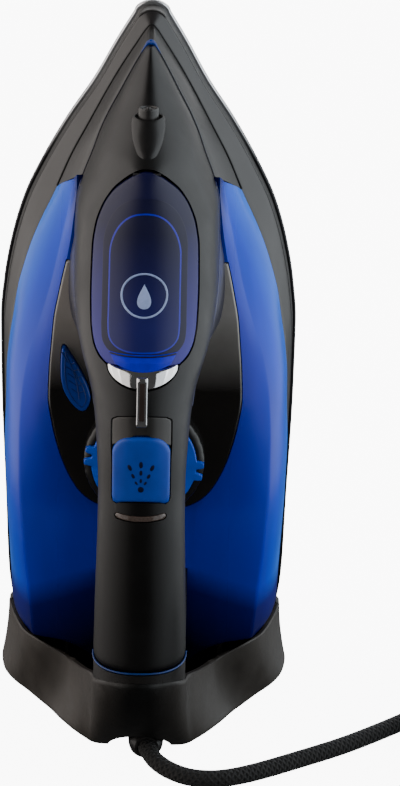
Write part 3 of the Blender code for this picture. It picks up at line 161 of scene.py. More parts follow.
def over(places, surface, lift=0.0):
    """The world points of places in (x, s) on a surface."""
    return [at(x, s, surface(x, s) + lift) for x, s in places]


def clamp(value):
    return max(0.0, min(1.0, value))


def smooth(table, station):
    """A table's value at a station, along a curve that doesn't overshoot between its rows."""
    if station <= table[0][0]:
        return table[0][1]
    if station >= table[-1][0]:
        return table[-1][1]
    last = len(table) - 2
    i = max(k for k in range(last + 1) if table[k][0] <= station)

    def rise(k):
        return (table[k + 1][1] - table[k][1]) / (table[k + 1][0] - table[k][0])

    def slope(k):
        if k == 0:
            return rise(0)
        if k == last + 1:
            return rise(last)
        before, after = rise(k - 1), rise(k)
        return 0.0 if before * after <= 0 else 2 * before * after / (before + after)

    width = table[i + 1][0] - table[i][0]
    t = (station - table[i][0]) / width
    return ((2 * t ** 3 - 3 * t ** 2 + 1) * table[i][1] + (t ** 3 - 2 * t ** 2 + t) * width * slope(i)
            + (3 * t ** 2 - 2 * t ** 3) * table[i + 1][1] + (t ** 3 - t ** 2) * width * slope(i + 1))


def spread(low, high, count):
    return [low + (high - low) * k / (count - 1) for k in range(count)]


def angles(count):
    """Even angles round a full turn."""
    return spread(0, 2 * math.pi, count + 1)[:-1]


def disc(radius, count):
    return [(radius * math.cos(a), radius * math.sin(a)) for a in angles(count)]


def bend(one, corner, two, t):
    """A point on the curve from one to two that leans into their corner."""
    return one * (1 - t) ** 2 + corner * 2 * t * (1 - t) + two * t * t


def finer(profile, shares):
    """A profile with points added at these shares of each of its lines."""
    fine = [(r0 + (r1 - r0) * t, d0 + (d1 - d0) * t)
            for (r0, d0), (r1, d1) in zip(profile, profile[1:]) for t in shares]
    return fine + [profile[-1]]


def mirrored(right):
    """A closed outline from its right half, whose points on the middle line count once."""
    return right + [(-x, *rest) for x, *rest in reversed(right) if x > 1e-6]


def inset(outline, amount):
    """A closed outline moved inwards, or outwards by a negative amount."""
    area = sum(a[0] * b[1] - b[0] * a[1] for a, b in zip(outline, outline[1:] + outline[:1]))
    turn = 1.0 if area > 0 else -1.0
    moved = []
    for k, here in enumerate(outline):
        before, after = outline[k - 1], outline[(k + 1) % len(outline)]
        one = Vector((here[0] - before[0], here[1] - before[1])).normalized()
        two = Vector((after[0] - here[0], after[1] - here[1])).normalized()
        normal = Vector((-(one.y + two.y), one.x + two.x)).normalized() * turn
        reach = amount / max(0.45, normal.dot(Vector((-one.y, one.x)) * turn))
        moved.append((here[0] + normal.x * reach, here[1] + normal.y * reach))
    return moved


def curve_through(points, parts, closed=False):
    """A Catmull-Rom curve through points of any dimension."""
    places = [Vector(p) for p in points]
    count = len(places)
    fine = []
    spans = count if closed else count - 1
    for k in range(spans):
        if closed:
            a, b, c, d = (places[(k + j) % count] for j in (-1, 0, 1, 2))
        else:
            b, c = places[k], places[k + 1]
            a = places[k - 1] if k else b * 2 - c
            d = places[k + 2] if k + 2 < count else c * 2 - b
        for t in spread(0, 1, parts + 1)[:-1]:
            fine.append(0.5 * (2 * b + (c - a) * t + (2 * a - 5 * b + 4 * c - d) * t * t
                               + (3 * b - a - 3 * c + d) * t ** 3))
    return fine if closed else fine + [places[-1]]


def new_object(name, data):
    item = bpy.data.objects.new(name, data)
    bpy.context.scene.collection.objects.link(item)
    return item


def edit(mesh, change):
    work = bmesh.new()
    work.from_mesh(mesh)
    change(work)
    work.to_mesh(mesh)
    work.free()


def shade(mesh, sharp):
    mesh.shade_smooth()
    mesh.set_sharp_from_angle(angle=math.radians(sharp))


def frames(path, closed=False):
    """Each point of a path with two directions across it, which don't twist along the way."""
    normal = None
    for k, here in enumerate(path):
        before = path[k - 1] if (k or closed) else here
        after = path[(k + 1) % len(path)] if (k < len(path) - 1 or closed) else here
        along = (after - before).normalized()
        normal = normal or along.orthogonal().normalized()
        normal = (normal - along * normal.dot(along)).normalized()
        yield here, normal, along.cross(normal)


def around(here, one, two, reach, sides):
    return [here + (one * math.cos(a) + two * math.sin(a)) * reach for a in angles(sides)]


def finish_mesh(item, sharp=32.0):
    def clean(work):
        bmesh.ops.remove_doubles(work, verts=work.verts, dist=2e-6)
        bmesh.ops.recalc_face_normals(work, faces=work.faces)
    edit(item.data, clean)
    shade(item.data, sharp)


def new_mesh(name, points, faces, sharp=32.0):
    mesh = bpy.data.meshes.new(name)
    mesh.from_pydata(points, [], faces)
    item = new_object(name, mesh)
    finish_mesh(item, sharp)
    return item


def loft(name, rings, closed=False, sharp=32.0, caps=True):
    """A surface through rings of equal length. Its ends close with one face each, or with strips."""
    count = len(rings[0])
    points = [point for ring in rings for point in ring]
    faces = []
    for r in range(len(rings) if closed else len(rings) - 1):
        low, high = r * count, (r + 1) % len(rings) * count
        faces += [(low + k, low + (k + 1) % count, high + (k + 1) % count, high + k) for k in range(count)]
    for base in () if closed or not caps else (0, len(points) - count):
        if caps == "strips":
            last = base + count - 1
            faces += [(base + k, base + k + 1, last - 1 - k, last - k) for k in range(count // 2 - 1)]
        else:
            faces.append(tuple(range(base, base + count)))
    return new_mesh(name, points, faces, sharp)


def tube(name, path, radius, sides=10, closed=False, radii=None):
    """A round wire along world points."""
    reach = radii or [radius] * len(path)
    rings = [around(*here, reach[k] * MM, sides) for k, here in enumerate(frames(path, closed))]
    return loft(name, rings, closed=closed, sharp=50)


def turned(name, profile, start, end, sides=64, sharp=32.0, wave=None):
    """A turned body: (radius, distance) pairs along the way from start to end. wave changes the
    radius by angle, radius and distance."""
    along = (end - start).normalized()
    one = along.orthogonal().normalized()
    two = along.cross(one)
    rings = []
    for radius, distance in profile:
        ring = []
        for a in angles(sides):
            reach = max(radius, 0.02) + (wave(a, radius, distance) if wave else 0.0)
            way = one * math.cos(a) + two * math.sin(a)
            ring.append(start + along * distance * MM + way * reach * MM)
        rings.append(ring)
    hollow = profile[0][0] > 0.1 and profile[-1][0] > 0.1 and abs(profile[0][1] - profile[-1][1]) < 1e-6
    return loft(name, rings, closed=hollow, sharp=sharp)


def boolean(item, cutter, operation="DIFFERENCE", sharp=32.0):
    for each in (item, cutter):
        edit(each.data, lambda work: bmesh.ops.triangulate(work, faces=work.faces))
    cut = item.modifiers.new("cut", "BOOLEAN")
    cut.operation = operation
    cut.object = cutter
    cut.solver = "EXACT"
    bpy.context.view_layer.update()
    graph = bpy.context.evaluated_depsgraph_get()
    mesh = bpy.data.meshes.new_from_object(item.evaluated_get(graph))
    item.modifiers.clear()
    old = item.data
    item.data = mesh
    bpy.data.meshes.remove(old)
    bpy.data.objects.remove(cutter, do_unlink=True)
    finish_mesh(item, sharp)
    return item


def cut(item, *cutters, sharp=32.0):
    for cutter in cutters:
        item = boolean(item, cutter, sharp=sharp)
    return item


def prism(name, outline, low, high, plane="sole", sharp=32.0):
    """A flat outline made thick: across the sole, from side to side, or from the rear."""
    def place(a, b, c):
        return {"sole": (a, b, c), "side": (c, a, b), "rear": (a, c, b)}[plane]
    return loft(name, [[at(*place(a, b, c)) for a, b in outline] for c in (low, high)], sharp=sharp)


def block(name, low, high):
    corners = [(low[0], low[1]), (high[0], low[1]), (high[0], high[1]), (low[0], high[1])]
    return prism(name, corners, low[2], high[2])


def rod(name, radius, start, end, sides=32):
    length = (end - start).length / MM
    return turned(name, [(radius, 0), (radius, length)], start, end, sides)


def rounded(corners, radius, steps=6):
    """A closed outline with round corners; radius is one number or one per corner."""
    loop = []
    count = len(corners)
    for k, here in enumerate(corners):
        r = radius[k] if isinstance(radius, (list, tuple)) else radius
        p = Vector(here)
        a = (Vector(corners[k - 1]) - p).normalized()
        b = (Vector(corners[(k + 1) % count]) - p).normalized()
        reach = r / math.tan(a.angle(b) / 2)
        loop += [tuple(bend(p + a * reach, p, p + b * reach, t)) for t in spread(0, 1, steps + 1)]
    return loop


def join(items, name):
    """Several meshes as one object."""
    work = bmesh.new()
    for item in items:
        work.from_mesh(item.data)
    mesh = bpy.data.meshes.new(name)
    work.to_mesh(mesh)
    work.free()
    for item in items:
        old = item.data
        bpy.data.objects.remove(item, do_unlink=True)
        bpy.data.meshes.remove(old)
    shade(mesh, 35)
    return new_object(name, mesh)


# ------------------------------------------------------------------ materials
class Look:
    """A Principled material with helpers for its procedural nodes. Sizes are in metres."""

    def __init__(self, name, colour, rough, metal=0.0, coat=0.0, specular=0.5):
        self.material = bpy.data.materials.new(name)
        self.material.use_nodes = True
        self.tree = self.material.node_tree
        self.shader = self.tree.nodes["Principled BSDF"]
        self.set("Base Color", (*colour, 1.0))
        self.set("Roughness", rough)
        self.set("Metallic", metal)
        self.set("Coat Weight", coat)
        self.set("Specular IOR Level", specular)
        self.coords = self.tree.nodes.new("ShaderNodeTexCoord")
        self.colour = colour
        self.rough = rough
        self.height = None

    def set(self, socket, value):
        self.shader.inputs[socket].default_value = value

    def node(self, kind, **inputs):
        made = self.tree.nodes.new(kind)
        for key, value in inputs.items():
            made.inputs[key.replace("_", " ")].default_value = value
        return made

    def link(self, one, two):
        self.tree.links.new(one, two)

    def feed(self, slot, value):
        """Sets a socket to a number or a colour, or links it to another socket."""
        if isinstance(value, (int, float)):
            slot.default_value = value
        elif isinstance(value, tuple):
            slot.default_value = (*value, 1.0)
        else:
            self.link(value, slot)

    def noise(self, scale, detail=3.0, rough=0.5, stretch=None):
        made = self.node("ShaderNodeTexNoise", Scale=scale, Detail=detail, Roughness=rough)
        source = self.coords.outputs["Object"]
        if stretch:
            mapping = self.node("ShaderNodeMapping")
            mapping.inputs["Scale"].default_value = stretch
            self.link(source, mapping.inputs["Vector"])
            source = mapping.outputs["Vector"]
        self.link(source, made.inputs["Vector"])
        return made.outputs["Fac"]

    def ramp(self, value, stops):
        made = self.tree.nodes.new("ShaderNodeValToRGB")
        elements = made.color_ramp.elements
        while len(elements) < len(stops):
            elements.new(0.5)
        for element, (position, colour) in zip(elements, stops):
            element.position = position
            element.color = (*colour, 1.0)
        self.link(value, made.inputs["Fac"])
        return made.outputs["Color"]

    def math(self, operation, one, two=0.0):
        made = self.tree.nodes.new("ShaderNodeMath")
        made.operation = operation
        for slot, value in zip(made.inputs, (one, two)):
            self.feed(slot, value)
        return made.outputs[0]

    def range(self, value, low, high, to_low=0.0, to_high=1.0):
        made = self.tree.nodes.new("ShaderNodeMapRange")
        for key, number in (("From Min", low), ("From Max", high), ("To Min", to_low), ("To Max", to_high)):
            made.inputs[key].default_value = number
        self.link(value, made.inputs["Value"])
        return made.outputs["Result"]

    def place(self):
        """x, y and z of the surface point, in metres."""
        made = self.tree.nodes.new("ShaderNodeSeparateXYZ")
        self.link(self.coords.outputs["Object"], made.inputs[0])
        return made.outputs

    def mix(self, share, one, two, blend="MIX"):
        made = self.tree.nodes.new("ShaderNodeMix")
        made.data_type = "RGBA"
        made.blend_type = blend
        for slot, value in (("Factor", share), ("A", one), ("B", two)):
            self.feed(made.inputs[slot], value)
        return made.outputs["Result"]

    def vary(self, colour=None, share=0.12, scale=60.0, rough=0.06):
        """Slow changes of colour and roughness, as moulded plastic or handled metal has."""
        fac = self.noise(scale, 4.0, 0.6)
        base = colour if colour is not None else self.colour
        if isinstance(base, tuple):
            dark = tuple(c * (1 - share) for c in base)
            light = tuple(min(1.0, c * (1 + share)) for c in base)
            out = self.ramp(fac, [(0.3, dark), (0.7, light)])
        else:
            tint = self.ramp(fac, [(0.3, (1 - share,) * 3), (0.7, (1.0,) * 3)])
            out = self.mix(1.0, base, tint, "MULTIPLY")
        self.link(out, self.shader.inputs["Base Color"])
        self.link(self.range(fac, 0.3, 0.7, max(0.0, self.rough - rough), self.rough + rough),
                  self.shader.inputs["Roughness"])
        return self

    def bump(self, height, strength=0.1, distance=0.0002):
        made = self.tree.nodes.new("ShaderNodeBump")
        made.inputs["Strength"].default_value = strength
        made.inputs["Distance"].default_value = distance
        self.link(height, made.inputs["Height"])
        if self.height is not None:
            self.link(self.height, made.inputs["Normal"])
        self.height = made.outputs["Normal"]
        self.link(self.height, self.shader.inputs["Normal"])
        return self

    def grain(self, scale, strength, distance=0.0001, detail=2.0, rough=0.5, stretch=None):
        return self.bump(self.noise(scale, detail, rough, stretch), strength, distance)


def plain(name, colour, rough, change, *grains, **more):
    """A look of one colour. change holds what vary() takes, and each of grains what grain() takes."""
    look = Look(name, colour, rough, **more).vary(None, *change)
    for values in grains:
        look.grain(*values)
    return look


def put(item, body, look, slot, *nodes):
    """Gives a piece its body and material, and hides the CAD nodes that it stands in for."""
    item.data.materials.clear()
    item.data.materials.append(look.material)
    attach(item, body)
    if nodes:
        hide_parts(*nodes)
    return item


def fit(item, body, look, node):
    """A piece in place of one CAD node, which it hides."""
    return put(item, body, look, node, node)


# ------------------------------------------------------------------ camera, light and floor
LENS = 142.8
VIEW_TARGET = (0.0212, 0.0, 0.1418)
VIEW_DISTANCE = 1.2
VIEW_ANGLES = (-0.25, 20.0, 1.12)       # azimuth, elevation and roll in degrees
WORLD_STRENGTH = 0.05
WARM, COOL = (1.0, 0.94, 0.90), (0.90, 0.96, 1.0)
BOXES = {"front": (38, 1.35, 4.4), "fore": (62, 1.3, 7.2), "side": (86, 1.25, 9.0), "back": (111, 1.25, 8.0),
         "rear": (136, 1.25, 5.0)}      # degrees from the view, metres away and watts
BOX_MIDDLE = 0.55
BOX_AIM = (0, 0, 0.2)
BOX_SIZE = (0.6, 2.2)
RIGHT_EXCESS = 0.06
FLOOR_SWEEP = [(0, -0.0004), (2, -0.0004), (4.5, -0.0004), (5.2, 0.1), (5.8, 0.5), (6.1, 1.3), (6.2, 5)]
FLOOR_GLOW = 9.0


def make_camera():
    data = bpy.data.cameras.new("camera")
    data.lens = LENS
    data.sensor_width = 36.0
    azimuth, elevation, roll = (math.radians(angle) for angle in VIEW_ANGLES)
    back = Vector((math.sin(azimuth) * math.cos(elevation), -math.cos(azimuth) * math.cos(elevation),
                   math.sin(elevation)))
    right = (-back).cross(Vector((0, 0, 1))).normalized()
    up = right.cross(-back)
    one = right * math.cos(roll) + up * math.sin(roll)
    two = up * math.cos(roll) - right * math.sin(roll)
    item = new_object("camera", data)
    place = Matrix.Translation(Vector(VIEW_TARGET) + back * VIEW_DISTANCE)
    item.matrix_world = place @ Matrix((one, two, back)).transposed().to_4x4()
    bpy.context.scene.camera = item


def area_light(name, place, aim, size, power, colour=(1, 1, 1)):
    data = bpy.data.lights.new(name, "AREA")
    data.shape = "RECTANGLE"
    data.size, data.size_y = size
    data.energy = power
    data.color = colour
    item = new_object(name, data)
    item.location = place
    item.rotation_euler = (Vector(aim) - Vector(place)).to_track_quat("-Z", "Y").to_euler()


def make_studio():
    """Five soft boxes down each side, warm on the left and cool on the right, dark between them, and
    one behind for the soleplate. The floor glows and rises far away into a round wall, and glossy
    surfaces don't mirror it."""
    world = bpy.data.worlds.new("studio")
    bpy.context.scene.world = world
    world.use_nodes = True
    background = world.node_tree.nodes["Background"].inputs
    background["Color"].default_value = (1.0, 0.99, 0.98, 1.0)
    background["Strength"].default_value = WORLD_STRENGTH
    for side, name, colour in ((-1, "left", WARM), (1, "right", COOL)):
        for part, (bearing, reach, power) in BOXES.items():
            a = math.radians(bearing)
            place = (side * reach * math.sin(a), -reach * math.cos(a), BOX_MIDDLE)
            area_light(name + "_" + part + "_box", place, BOX_AIM, BOX_SIZE,
                       power * (1 + RIGHT_EXCESS * side), colour)
    area_light("sole_box", (0.1, 1.8, 0.5), (0, 0, 0.15), (1.2, 1.2), 10)
    floor = loft("floor", [[Vector((x, y, z)) for x, y in disc(r, 64)] for r, z in FLOOR_SWEEP], caps=False)
    look = Look("floor", (0.86, 0.86, 0.86), 0.9, specular=0.05)
    look.vary(share=0.004, scale=2.0, rough=0.02)
    look.set("Emission Color", (1, 1, 1, 1))
    look.set("Emission Strength", FLOOR_GLOW)
    floor.data.materials.append(look.material)
    floor.visible_glossy = False
    floor.visible_diffuse = False


# ------------------------------------------------------------------ the lead
COIL_RINGS = [50.5, 43.5, 36.5, 29.5, 33.0, 40.0, 47.0]
COIL_NEST = CORD * math.sin(math.radians(60))
COIL_ENTRY = 120.0
COIL_TOTAL = 2280.0
COIL_BLEND = 42.0
TIE_HALF = 5.8
YARN_SHARE = 0.985
YARNS_A_METRE = 420.0
YARNS_AROUND = 7.0
BALL_PROFILE = [(0, -6.8), (3.2, -6.3), (5.2, -4.6), (6.3, -2), (6.6, 0), (6.3, 2), (5.8, 3.6), (5.3, 6)]
COLLAR_PROFILE = [(5.25, -10), (5.6, -8.4), (6.3, -7), (6.8, -5.6), (6.85, -4), (6.85, -0.6), (6.6, 1.2),
                  (5.9, 2.6), (5, 3.8), (4.6, 4.4), (3.7, 4.6), (3.6, 2), (0, 2)]
PLUG_PROFILE = [(0, 0), (8.6, 0), (9.6, 0.3), (11.6, 1.6), (13.2, 4), (14.9, 7.6), (16.2, 11.5),
                (16.9, 15.5), (17.2, 20), (17.2, 30.6), (16.9, 31.8), (16.2, 32.6), (15.2, 33), (13, 33),
                (12.6, 32.6), (0, 32.6)]
PIN_PROFILE = [(0, 19.2), (1.1, 19.2), (1.8, 18.7), (2.25, 17.8), (2.4, 16.6), (2.4, 9), (2.4, 0.4),
               (2.4, 0), (0, 0)]


def coil_points():
    """Seven turns wound inward on the table and outward on top, clockwise from the entry angle."""
    share = COIL_TOTAL / len(COIL_RINGS)
    points = []
    steps = int(COIL_TOTAL / 12)
    for k in range(steps + 1):
        turned_by = COIL_TOTAL * k / steps
        ring = min(len(COIL_RINGS) - 1, int(turned_by / share))
        into = turned_by - ring * share
        other, t = ring, 0.0
        if into > share - COIL_BLEND and ring + 1 < len(COIL_RINGS):
            other, t = ring + 1, (into - share + COIL_BLEND) / (2 * COIL_BLEND)
        elif into < COIL_BLEND and ring > 0:
            other, t = ring - 1, (COIL_BLEND - into) / (2 * COIL_BLEND)
        t = t * t * (3 - 2 * t)
        radius = COIL_RINGS[ring] + (COIL_RINGS[other] - COIL_RINGS[ring]) * t
        level_here, level_there = (COIL_NEST * (n > 3) for n in (ring, other))
        height = level_here + (level_there - level_here) * t
        angle = math.radians(COIL_ENTRY - turned_by)
        points.append(Vector((COIL_CENTRE[0] + radius * math.cos(angle),
                              COIL_CENTRE[1] + radius * math.sin(angle), COIL_FLOOR + CORD / 2 + height)))
    return points


def lift_over(points, under, apart):
    """Raises points just enough to lie a distance apart from the strands below them."""
    needed = []
    for point in points:
        height = point.z
        for low in under:
            flat = math.hypot(point.x - low.x, point.y - low.y)
            if flat < apart:
                height = max(height, low.z + math.sqrt(apart * apart - flat * flat))
        needed.append(height)
    for k, point in enumerate(points):
        near = needed[max(0, k - 2):k + 3]
        point.z = max(needed[k], sum(near) / len(near))
    return points


def cord_path():
    """The lead's whole way in metres: from the swivel round its bend, through the coil, to the plug."""
    ball, collar = at(*SWIVEL_BALL), at(*SWIVEL_COLLAR)
    start = (collar + (collar - ball).normalized() * 0.004) / MM
    coil = coil_points()
    upper = int(len(coil) * 4 / len(COIL_RINGS))
    fine = curve_through(coil[:upper], 4)
    coil = coil[:upper + 3] + lift_over(coil[upper + 3:], fine, CORD * YARN_SHARE)
    route = [start] + CORD_ROUTE[1:] + [(125.6, 13.6, 5.0)] + coil
    route += [(210.6, -34.0, 12.1), (210.7, -44.0, 12.4)] + TAIL_ROUTE + [(167.0, -95.6, 14.2)]
    return [p * MM for p in curve_through(route, 3)]


def mapped_tube(name, path, radius, sides=18):
    """A round wire with a UV map: u is the way along it in metres, v the share of a turn round it."""
    walked = [0.0]
    for a, b in zip(path, path[1:]):
        walked.append(walked[-1] + (b - a).length)
    points = [p for here, one, two in frames(path) for p in around(here, one, two, radius * MM, sides)]
    faces, uvs = [], []
    for r, (low, high) in enumerate(zip(walked, walked[1:])):
        for k in range(sides):
            n, base = (k + 1) % sides, r * sides
            faces.append((base + k, base + n, base + sides + n, base + sides + k))
            v0, v1 = k / sides, (k + 1) / sides
            uvs += [(low, v0), (low, v1), (high, v1), (high, v0)]
    for base in (0, len(points) - sides):
        faces.append(tuple(range(base, base + sides)))
        uvs += [(0.0, 0.0)] * sides
    mesh = bpy.data.meshes.new(name)
    mesh.from_pydata(points, [], faces)
    layer = mesh.uv_layers.new(name="UVMap")
    for loop, uv in zip(layer.data, uvs):
        loop.uv = uv
    edit(mesh, lambda work: bmesh.ops.recalc_face_normals(work, faces=work.faces))
    shade(mesh, 60)
    return new_object(name, mesh)


def make_cord():
    path = cord_path()
    length = sum((b - a).length for a, b in zip(path, path[1:]))
    item = mapped_tube("lead", path, CORD / 2 * YARN_SHARE)
    look = Look("braid", (0.014, 0.013, 0.013), 0.75, specular=0.35)
    braid(look)
    put(item, "lead", look, "cord", "cord", "cord_coil", "cord_tail")
    tuple(path[0])
    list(make_plug())
    make_tie()
    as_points(path)
    make_swivel()


def braid(look):
    """Crossed yarns round the cord, from its UV map."""
    source = look.tree.nodes.new("ShaderNodeSeparateXYZ")
    look.link(look.coords.outputs["UV"], source.inputs[0])
    along = look.math("MULTIPLY", source.outputs[0], 2 * math.pi * YARNS_A_METRE)
    across = look.math("MULTIPLY", source.outputs[1], 2 * math.pi * YARNS_AROUND)
    one = look.math("SINE", look.math("ADD", along, across))
    two = look.math("SINE", look.math("SUBTRACT", along, across))
    weave = look.math("MAXIMUM", one, two)
    yarn = look.ramp(weave, [(0.0, (0.0015, 0.0015, 0.0015)), (1.0, (0.011, 0.010, 0.0095))])
    look.link(yarn, look.shader.inputs["Base Color"])
    look.bump(weave, 0.6, 0.0005).grain(3500, 0.3, 0.0002)
    look.set("Sheen Weight", 0.08)
    look.set("Sheen Roughness", 0.5)


def make_swivel():
    """The cord's swivel: a ball in the heel, a shank, and a ribbed collar that the cord leaves."""
    ball, collar = at(*SWIVEL_BALL), at(*SWIVEL_COLLAR)
    reach = (collar - ball).length / MM
    profile = BALL_PROFILE + [(radius, reach + past) for radius, past in COLLAR_PROFILE]

    def ribs(_angle, _radius, distance):
        if not 8.0 < distance < reach - 10.5:
            return 0.0
        return -0.35 if int((distance - 8.0) / 1.6) % 2 else 0.0
    item = turned("swivel", finer(profile, (0.0, 0.34, 0.67)), ball, collar, 40, sharp=40, wave=ribs)
    look = plain("swivel_rubber", (0.012, 0.011, 0.011), 0.42, (0.2, 300, 0.06), (2600, 0.15), specular=0.4)
    fit(item, "lead", look, "cord_swivel")


def make_tie():
    """The strap round the coil's four strands and the three above them."""
    half = 4 * CORD / 2 + 0.3
    inner, outer = COIL_MIDDLE - half, COIL_MIDDLE + half
    top = COIL_FLOOR + CORD + COIL_NEST + 1.6
    corners = [(inner - 2.6, 0.1), (outer + 1.8, 0.1), (outer + 1.8, top - 6.0), (outer - 3.4, top),
               (inner + 2.6, top), (inner - 2.6, top - 6.0)]
    loop = rounded(corners, 2.0, 4)
    rings = [[Vector((COIL_CENTRE[0] + r, COIL_CENTRE[1] + y, z)) * MM for r, z in outline]
             for outline, first in ((loop, -TIE_HALF), (inset(loop, 1.3), TIE_HALF))
             for y in spread(first, -first, 7)]
    item = loft("tie", rings, closed=True, sharp=50)
    look = plain("hook_and_loop", (0.02, 0.02, 0.022), 0.85, (0.4, 1600, 0.08), (5200, 0.5, 0.0003),
                 specular=0.2)
    look.set("Sheen Weight", 0.3)
    return fit(item, "lead", look, "cord_tie")


def make_plug():
    """A round earthed plug on its side, with grip ribs, a ribbed relief and two pins."""
    start = Vector((PLUG_BACK, PLUG_AXIS_Y, PLUG_AXIS_Z)) * MM
    end = start + Vector((-0.1, 0, 0))

    def grip(angle, radius, distance):
        on_side = 14.0 < distance < 29.5 and radius > 15
        return -0.7 * max(0.0, math.cos(angle * 14)) ** 3 if on_side else 0.0
    body = turned("plug", finer(PLUG_PROFILE, (0.0, 0.5)), start, end, 112, sharp=40, wave=grip)
    look = plain("plug_rubber", (0.013, 0.012, 0.012), 0.38, (0.2, 200, 0.06), (2400, 0.12), specular=0.45)
    fit(body, "lead", look, "plug_body")
    ways = [(172.3, 12.9), (168.4, 13.8), (164, 14.6), (157, 16.4), (PLUG_BACK - 0.6, PLUG_AXIS_Z)]
    route = curve_through([(x, PLUG_AXIS_Y, z) for x, z in ways], 8)
    radii = []
    for share in spread(0, 1, len(route)):
        rib = 0.35 if int(share * 18) % 2 and 0.08 < share < 0.85 else 0.0
        radii.append(4.2 + 2.4 * share - rib)
    relief = tube("plug_sleeve", [p * MM for p in route], 5.0, 28, radii=radii)
    fit(relief, "lead", look, "plug_relief")
    metal = plain("plug_nickel", (0.80, 0.79, 0.76), 0.22, (0.06, 300, 0.08), metal=1.0)
    made = [body, relief]
    for side, name in ((-1, "left"), (1, "right")):
        foot = start + Vector((-33.0 * MM, side * 9.5 * MM, 0))
        pin = turned("pin_" + name, PIN_PROFILE, foot, foot + Vector((-0.019, 0, 0)), 32, sharp=50)
        made.append(fit(pin, "lead", metal, "plug_pin_" + name))
    return made


# ------------------------------------------------------------------ shapes that pieces share
MOST_SHRUNK = 0.985


def nose_up(half, stations, tip):
    return mirrored([(half(s), s) for s in stations] + [(0.0, tip)])


def sole_half(s):
    from_tip = NOSE - s
    flank = smooth(SOLE_HALF, s)
    if from_tip > 2 * NOSE_RADIUS:
        return flank
    arc = math.sqrt(max(0.0, NOSE_RADIUS ** 2 - (NOSE_RADIUS - from_tip) ** 2))
    return min(flank, arc) if from_tip < 6 else flank


def sole_outline(amount):
    stations = [21.5, 22.0, 22.8, 24, 25] + spread(28, 268, 81) + spread(269.5, 276.5, 8)
    stations += [277.4, 278.1, 278.6, 278.9]
    return inset(nose_up(sole_half, stations, NOSE), amount)


def shell_flank(s):
    return smooth(SHELL_HALF, s) if s < 267 else 4.8 - 0.65 * (s - 267)


def nosed(flank, rear, nose, radius, lean, count=90):
    """An outline whose flanks run tangent into a nose arc; lean is the flank's angle in degrees."""
    lean = math.radians(lean)
    centre = nose - radius
    right = [(flank(s), s) for s in spread(rear, centre + radius * math.sin(lean), count)[:-1]]
    right += [(radius * math.cos(a), centre + radius * math.sin(a))
              for a in spread(lean, math.pi / 2, 9)[:-1]]
    return mirrored(right + [(0.0, nose)])


def hood_edge(s):
    return smooth(HOOD_HALF, s), smooth(HOOD_EDGE, s), smooth(HOOD_TOP, s)


def crown(x, s, sunk=0.0):
    half, edge, top = hood_edge(s)
    share = min(1.0, abs(x) / half)
    power = smooth(HOOD_POWER, s)
    return edge + (top - edge) * (1 - share ** power) ** (1 / power) - sunk


def lid_top(x, s):
    return crown(x, s, 0.2)


def arch(half, edge, top, count=49, power=2.4):
    points = []
    for angle in spread(0, math.pi, count):
        c, q = math.cos(angle), math.sin(angle)
        points.append((half * math.copysign(abs(c) ** (2 / power), c),
                       edge + (top - edge) * abs(q) ** (2 / power)))
    return points


def even(outline, step):
    """The same closed outline with its points an even step apart, so that it can be inset cleanly."""
    places = [Vector(p) for p in outline]
    walked = [0.0]
    for a, b in zip(places, places[1:] + places[:1]):
        walked.append(walked[-1] + (b - a).length)
    count = max(12, round(walked[-1] / step))
    loop, k = [], 0
    for n in range(count):
        want = walked[-1] * n / count
        while walked[k + 1] < want:
            k += 1
        a, b = places[k], places[(k + 1) % len(places)]
        point = a.lerp(b, (want - walked[k]) / max(1e-9, walked[k + 1] - walked[k]))
        loop.append((point.x, point.y))
    return loop


def plate(name, outline, surface, wall, edge=0.5, rows=10, sharp=32.0, lift=0.0):
    """A curved plate with a round edge: an outline in (x, s), shrunk ring by ring onto its middle,
    whose top lies on a surface and whose underside is a wall below."""
    outline = even(outline, max(0.25, edge * 1.6))
    middle = [sum(p[axis] for p in outline) / len(outline) for axis in (0, 1)]

    def shrunk(loop, share):
        return [(x + (middle[0] - x) * share, s + (middle[1] - s) * share) for x, s in loop]
    half = rows // 2
    rings = [over(shrunk(outline, MOST_SHRUNK * (1 - k / half)), surface, lift - wall) for k in range(half)]
    rings.append(over(outline, surface, lift - wall))
    for a in spread(0, math.pi / 2, 5):
        rings.append(over(inset(outline, edge * (1 - math.cos(a))), surface, lift - edge * (1 - math.sin(a))))
    inner = inset(outline, edge)
    rings += [over(shrunk(inner, MOST_SHRUNK * k / rows), surface, lift) for k in range(1, rows + 1)]
    return loft(name, rings, sharp=sharp)


def patch(name, stations, span, surface, wall, across=25):
    """A plain curved plate between two side lines."""
    rings = []
    for s in stations:
        row = [(x, s) for x in spread(*span(s), across)]
        rings.append(over(row, surface) + over(row[::-1], surface, -wall))
    return loft(name, rings)


def console_outline(grow):
    stations = [89.5, 89.9, 90.4, 91, 92.2, 93.5, 94.5, 95.5, 97, 99, 102]
    stations += spread(106, 184, 40) + [186, 188, 189]
    return inset(mirrored([(smooth(CONSOLE_HALF, s), s) for s in stations]), -grow)


def leaf_outline(amount):
    points = [(-31.9, 157.6), (-28.6, 153.6), (-24.8, 147.4), (-21.9, 141.0), (-21.2, 136.0),
              (-23.9, 132.0), (-28.0, 134.8), (-31.4, 140.6), (-32.6, 148.0)]
    return inset([tuple(p) for p in curve_through(points, 6, closed=True)], amount)


# ------------------------------------------------------------------ materials of several pieces
def tone(*colour):
    """A colour of 0 to 255 as linear values."""
    def linear(c):
        c /= 255
        return c / 12.92 if c <= 0.04045 else ((c + 0.055) / 1.055) ** 2.4
    return tuple(linear(c) for c in colour)


def gloss_black(name, colour, rough):
    return plain(name, tone(*colour), rough + 0.1, (0.15, 90, 0.03), (260, 0.02, 0.0003), (1500, 0.015))


def matt_black(name, colour, rough):
    return plain(name, tone(*colour), rough, (0.2, 120, 0.07), (1500, 0.22, 0.00015), specular=0.35)


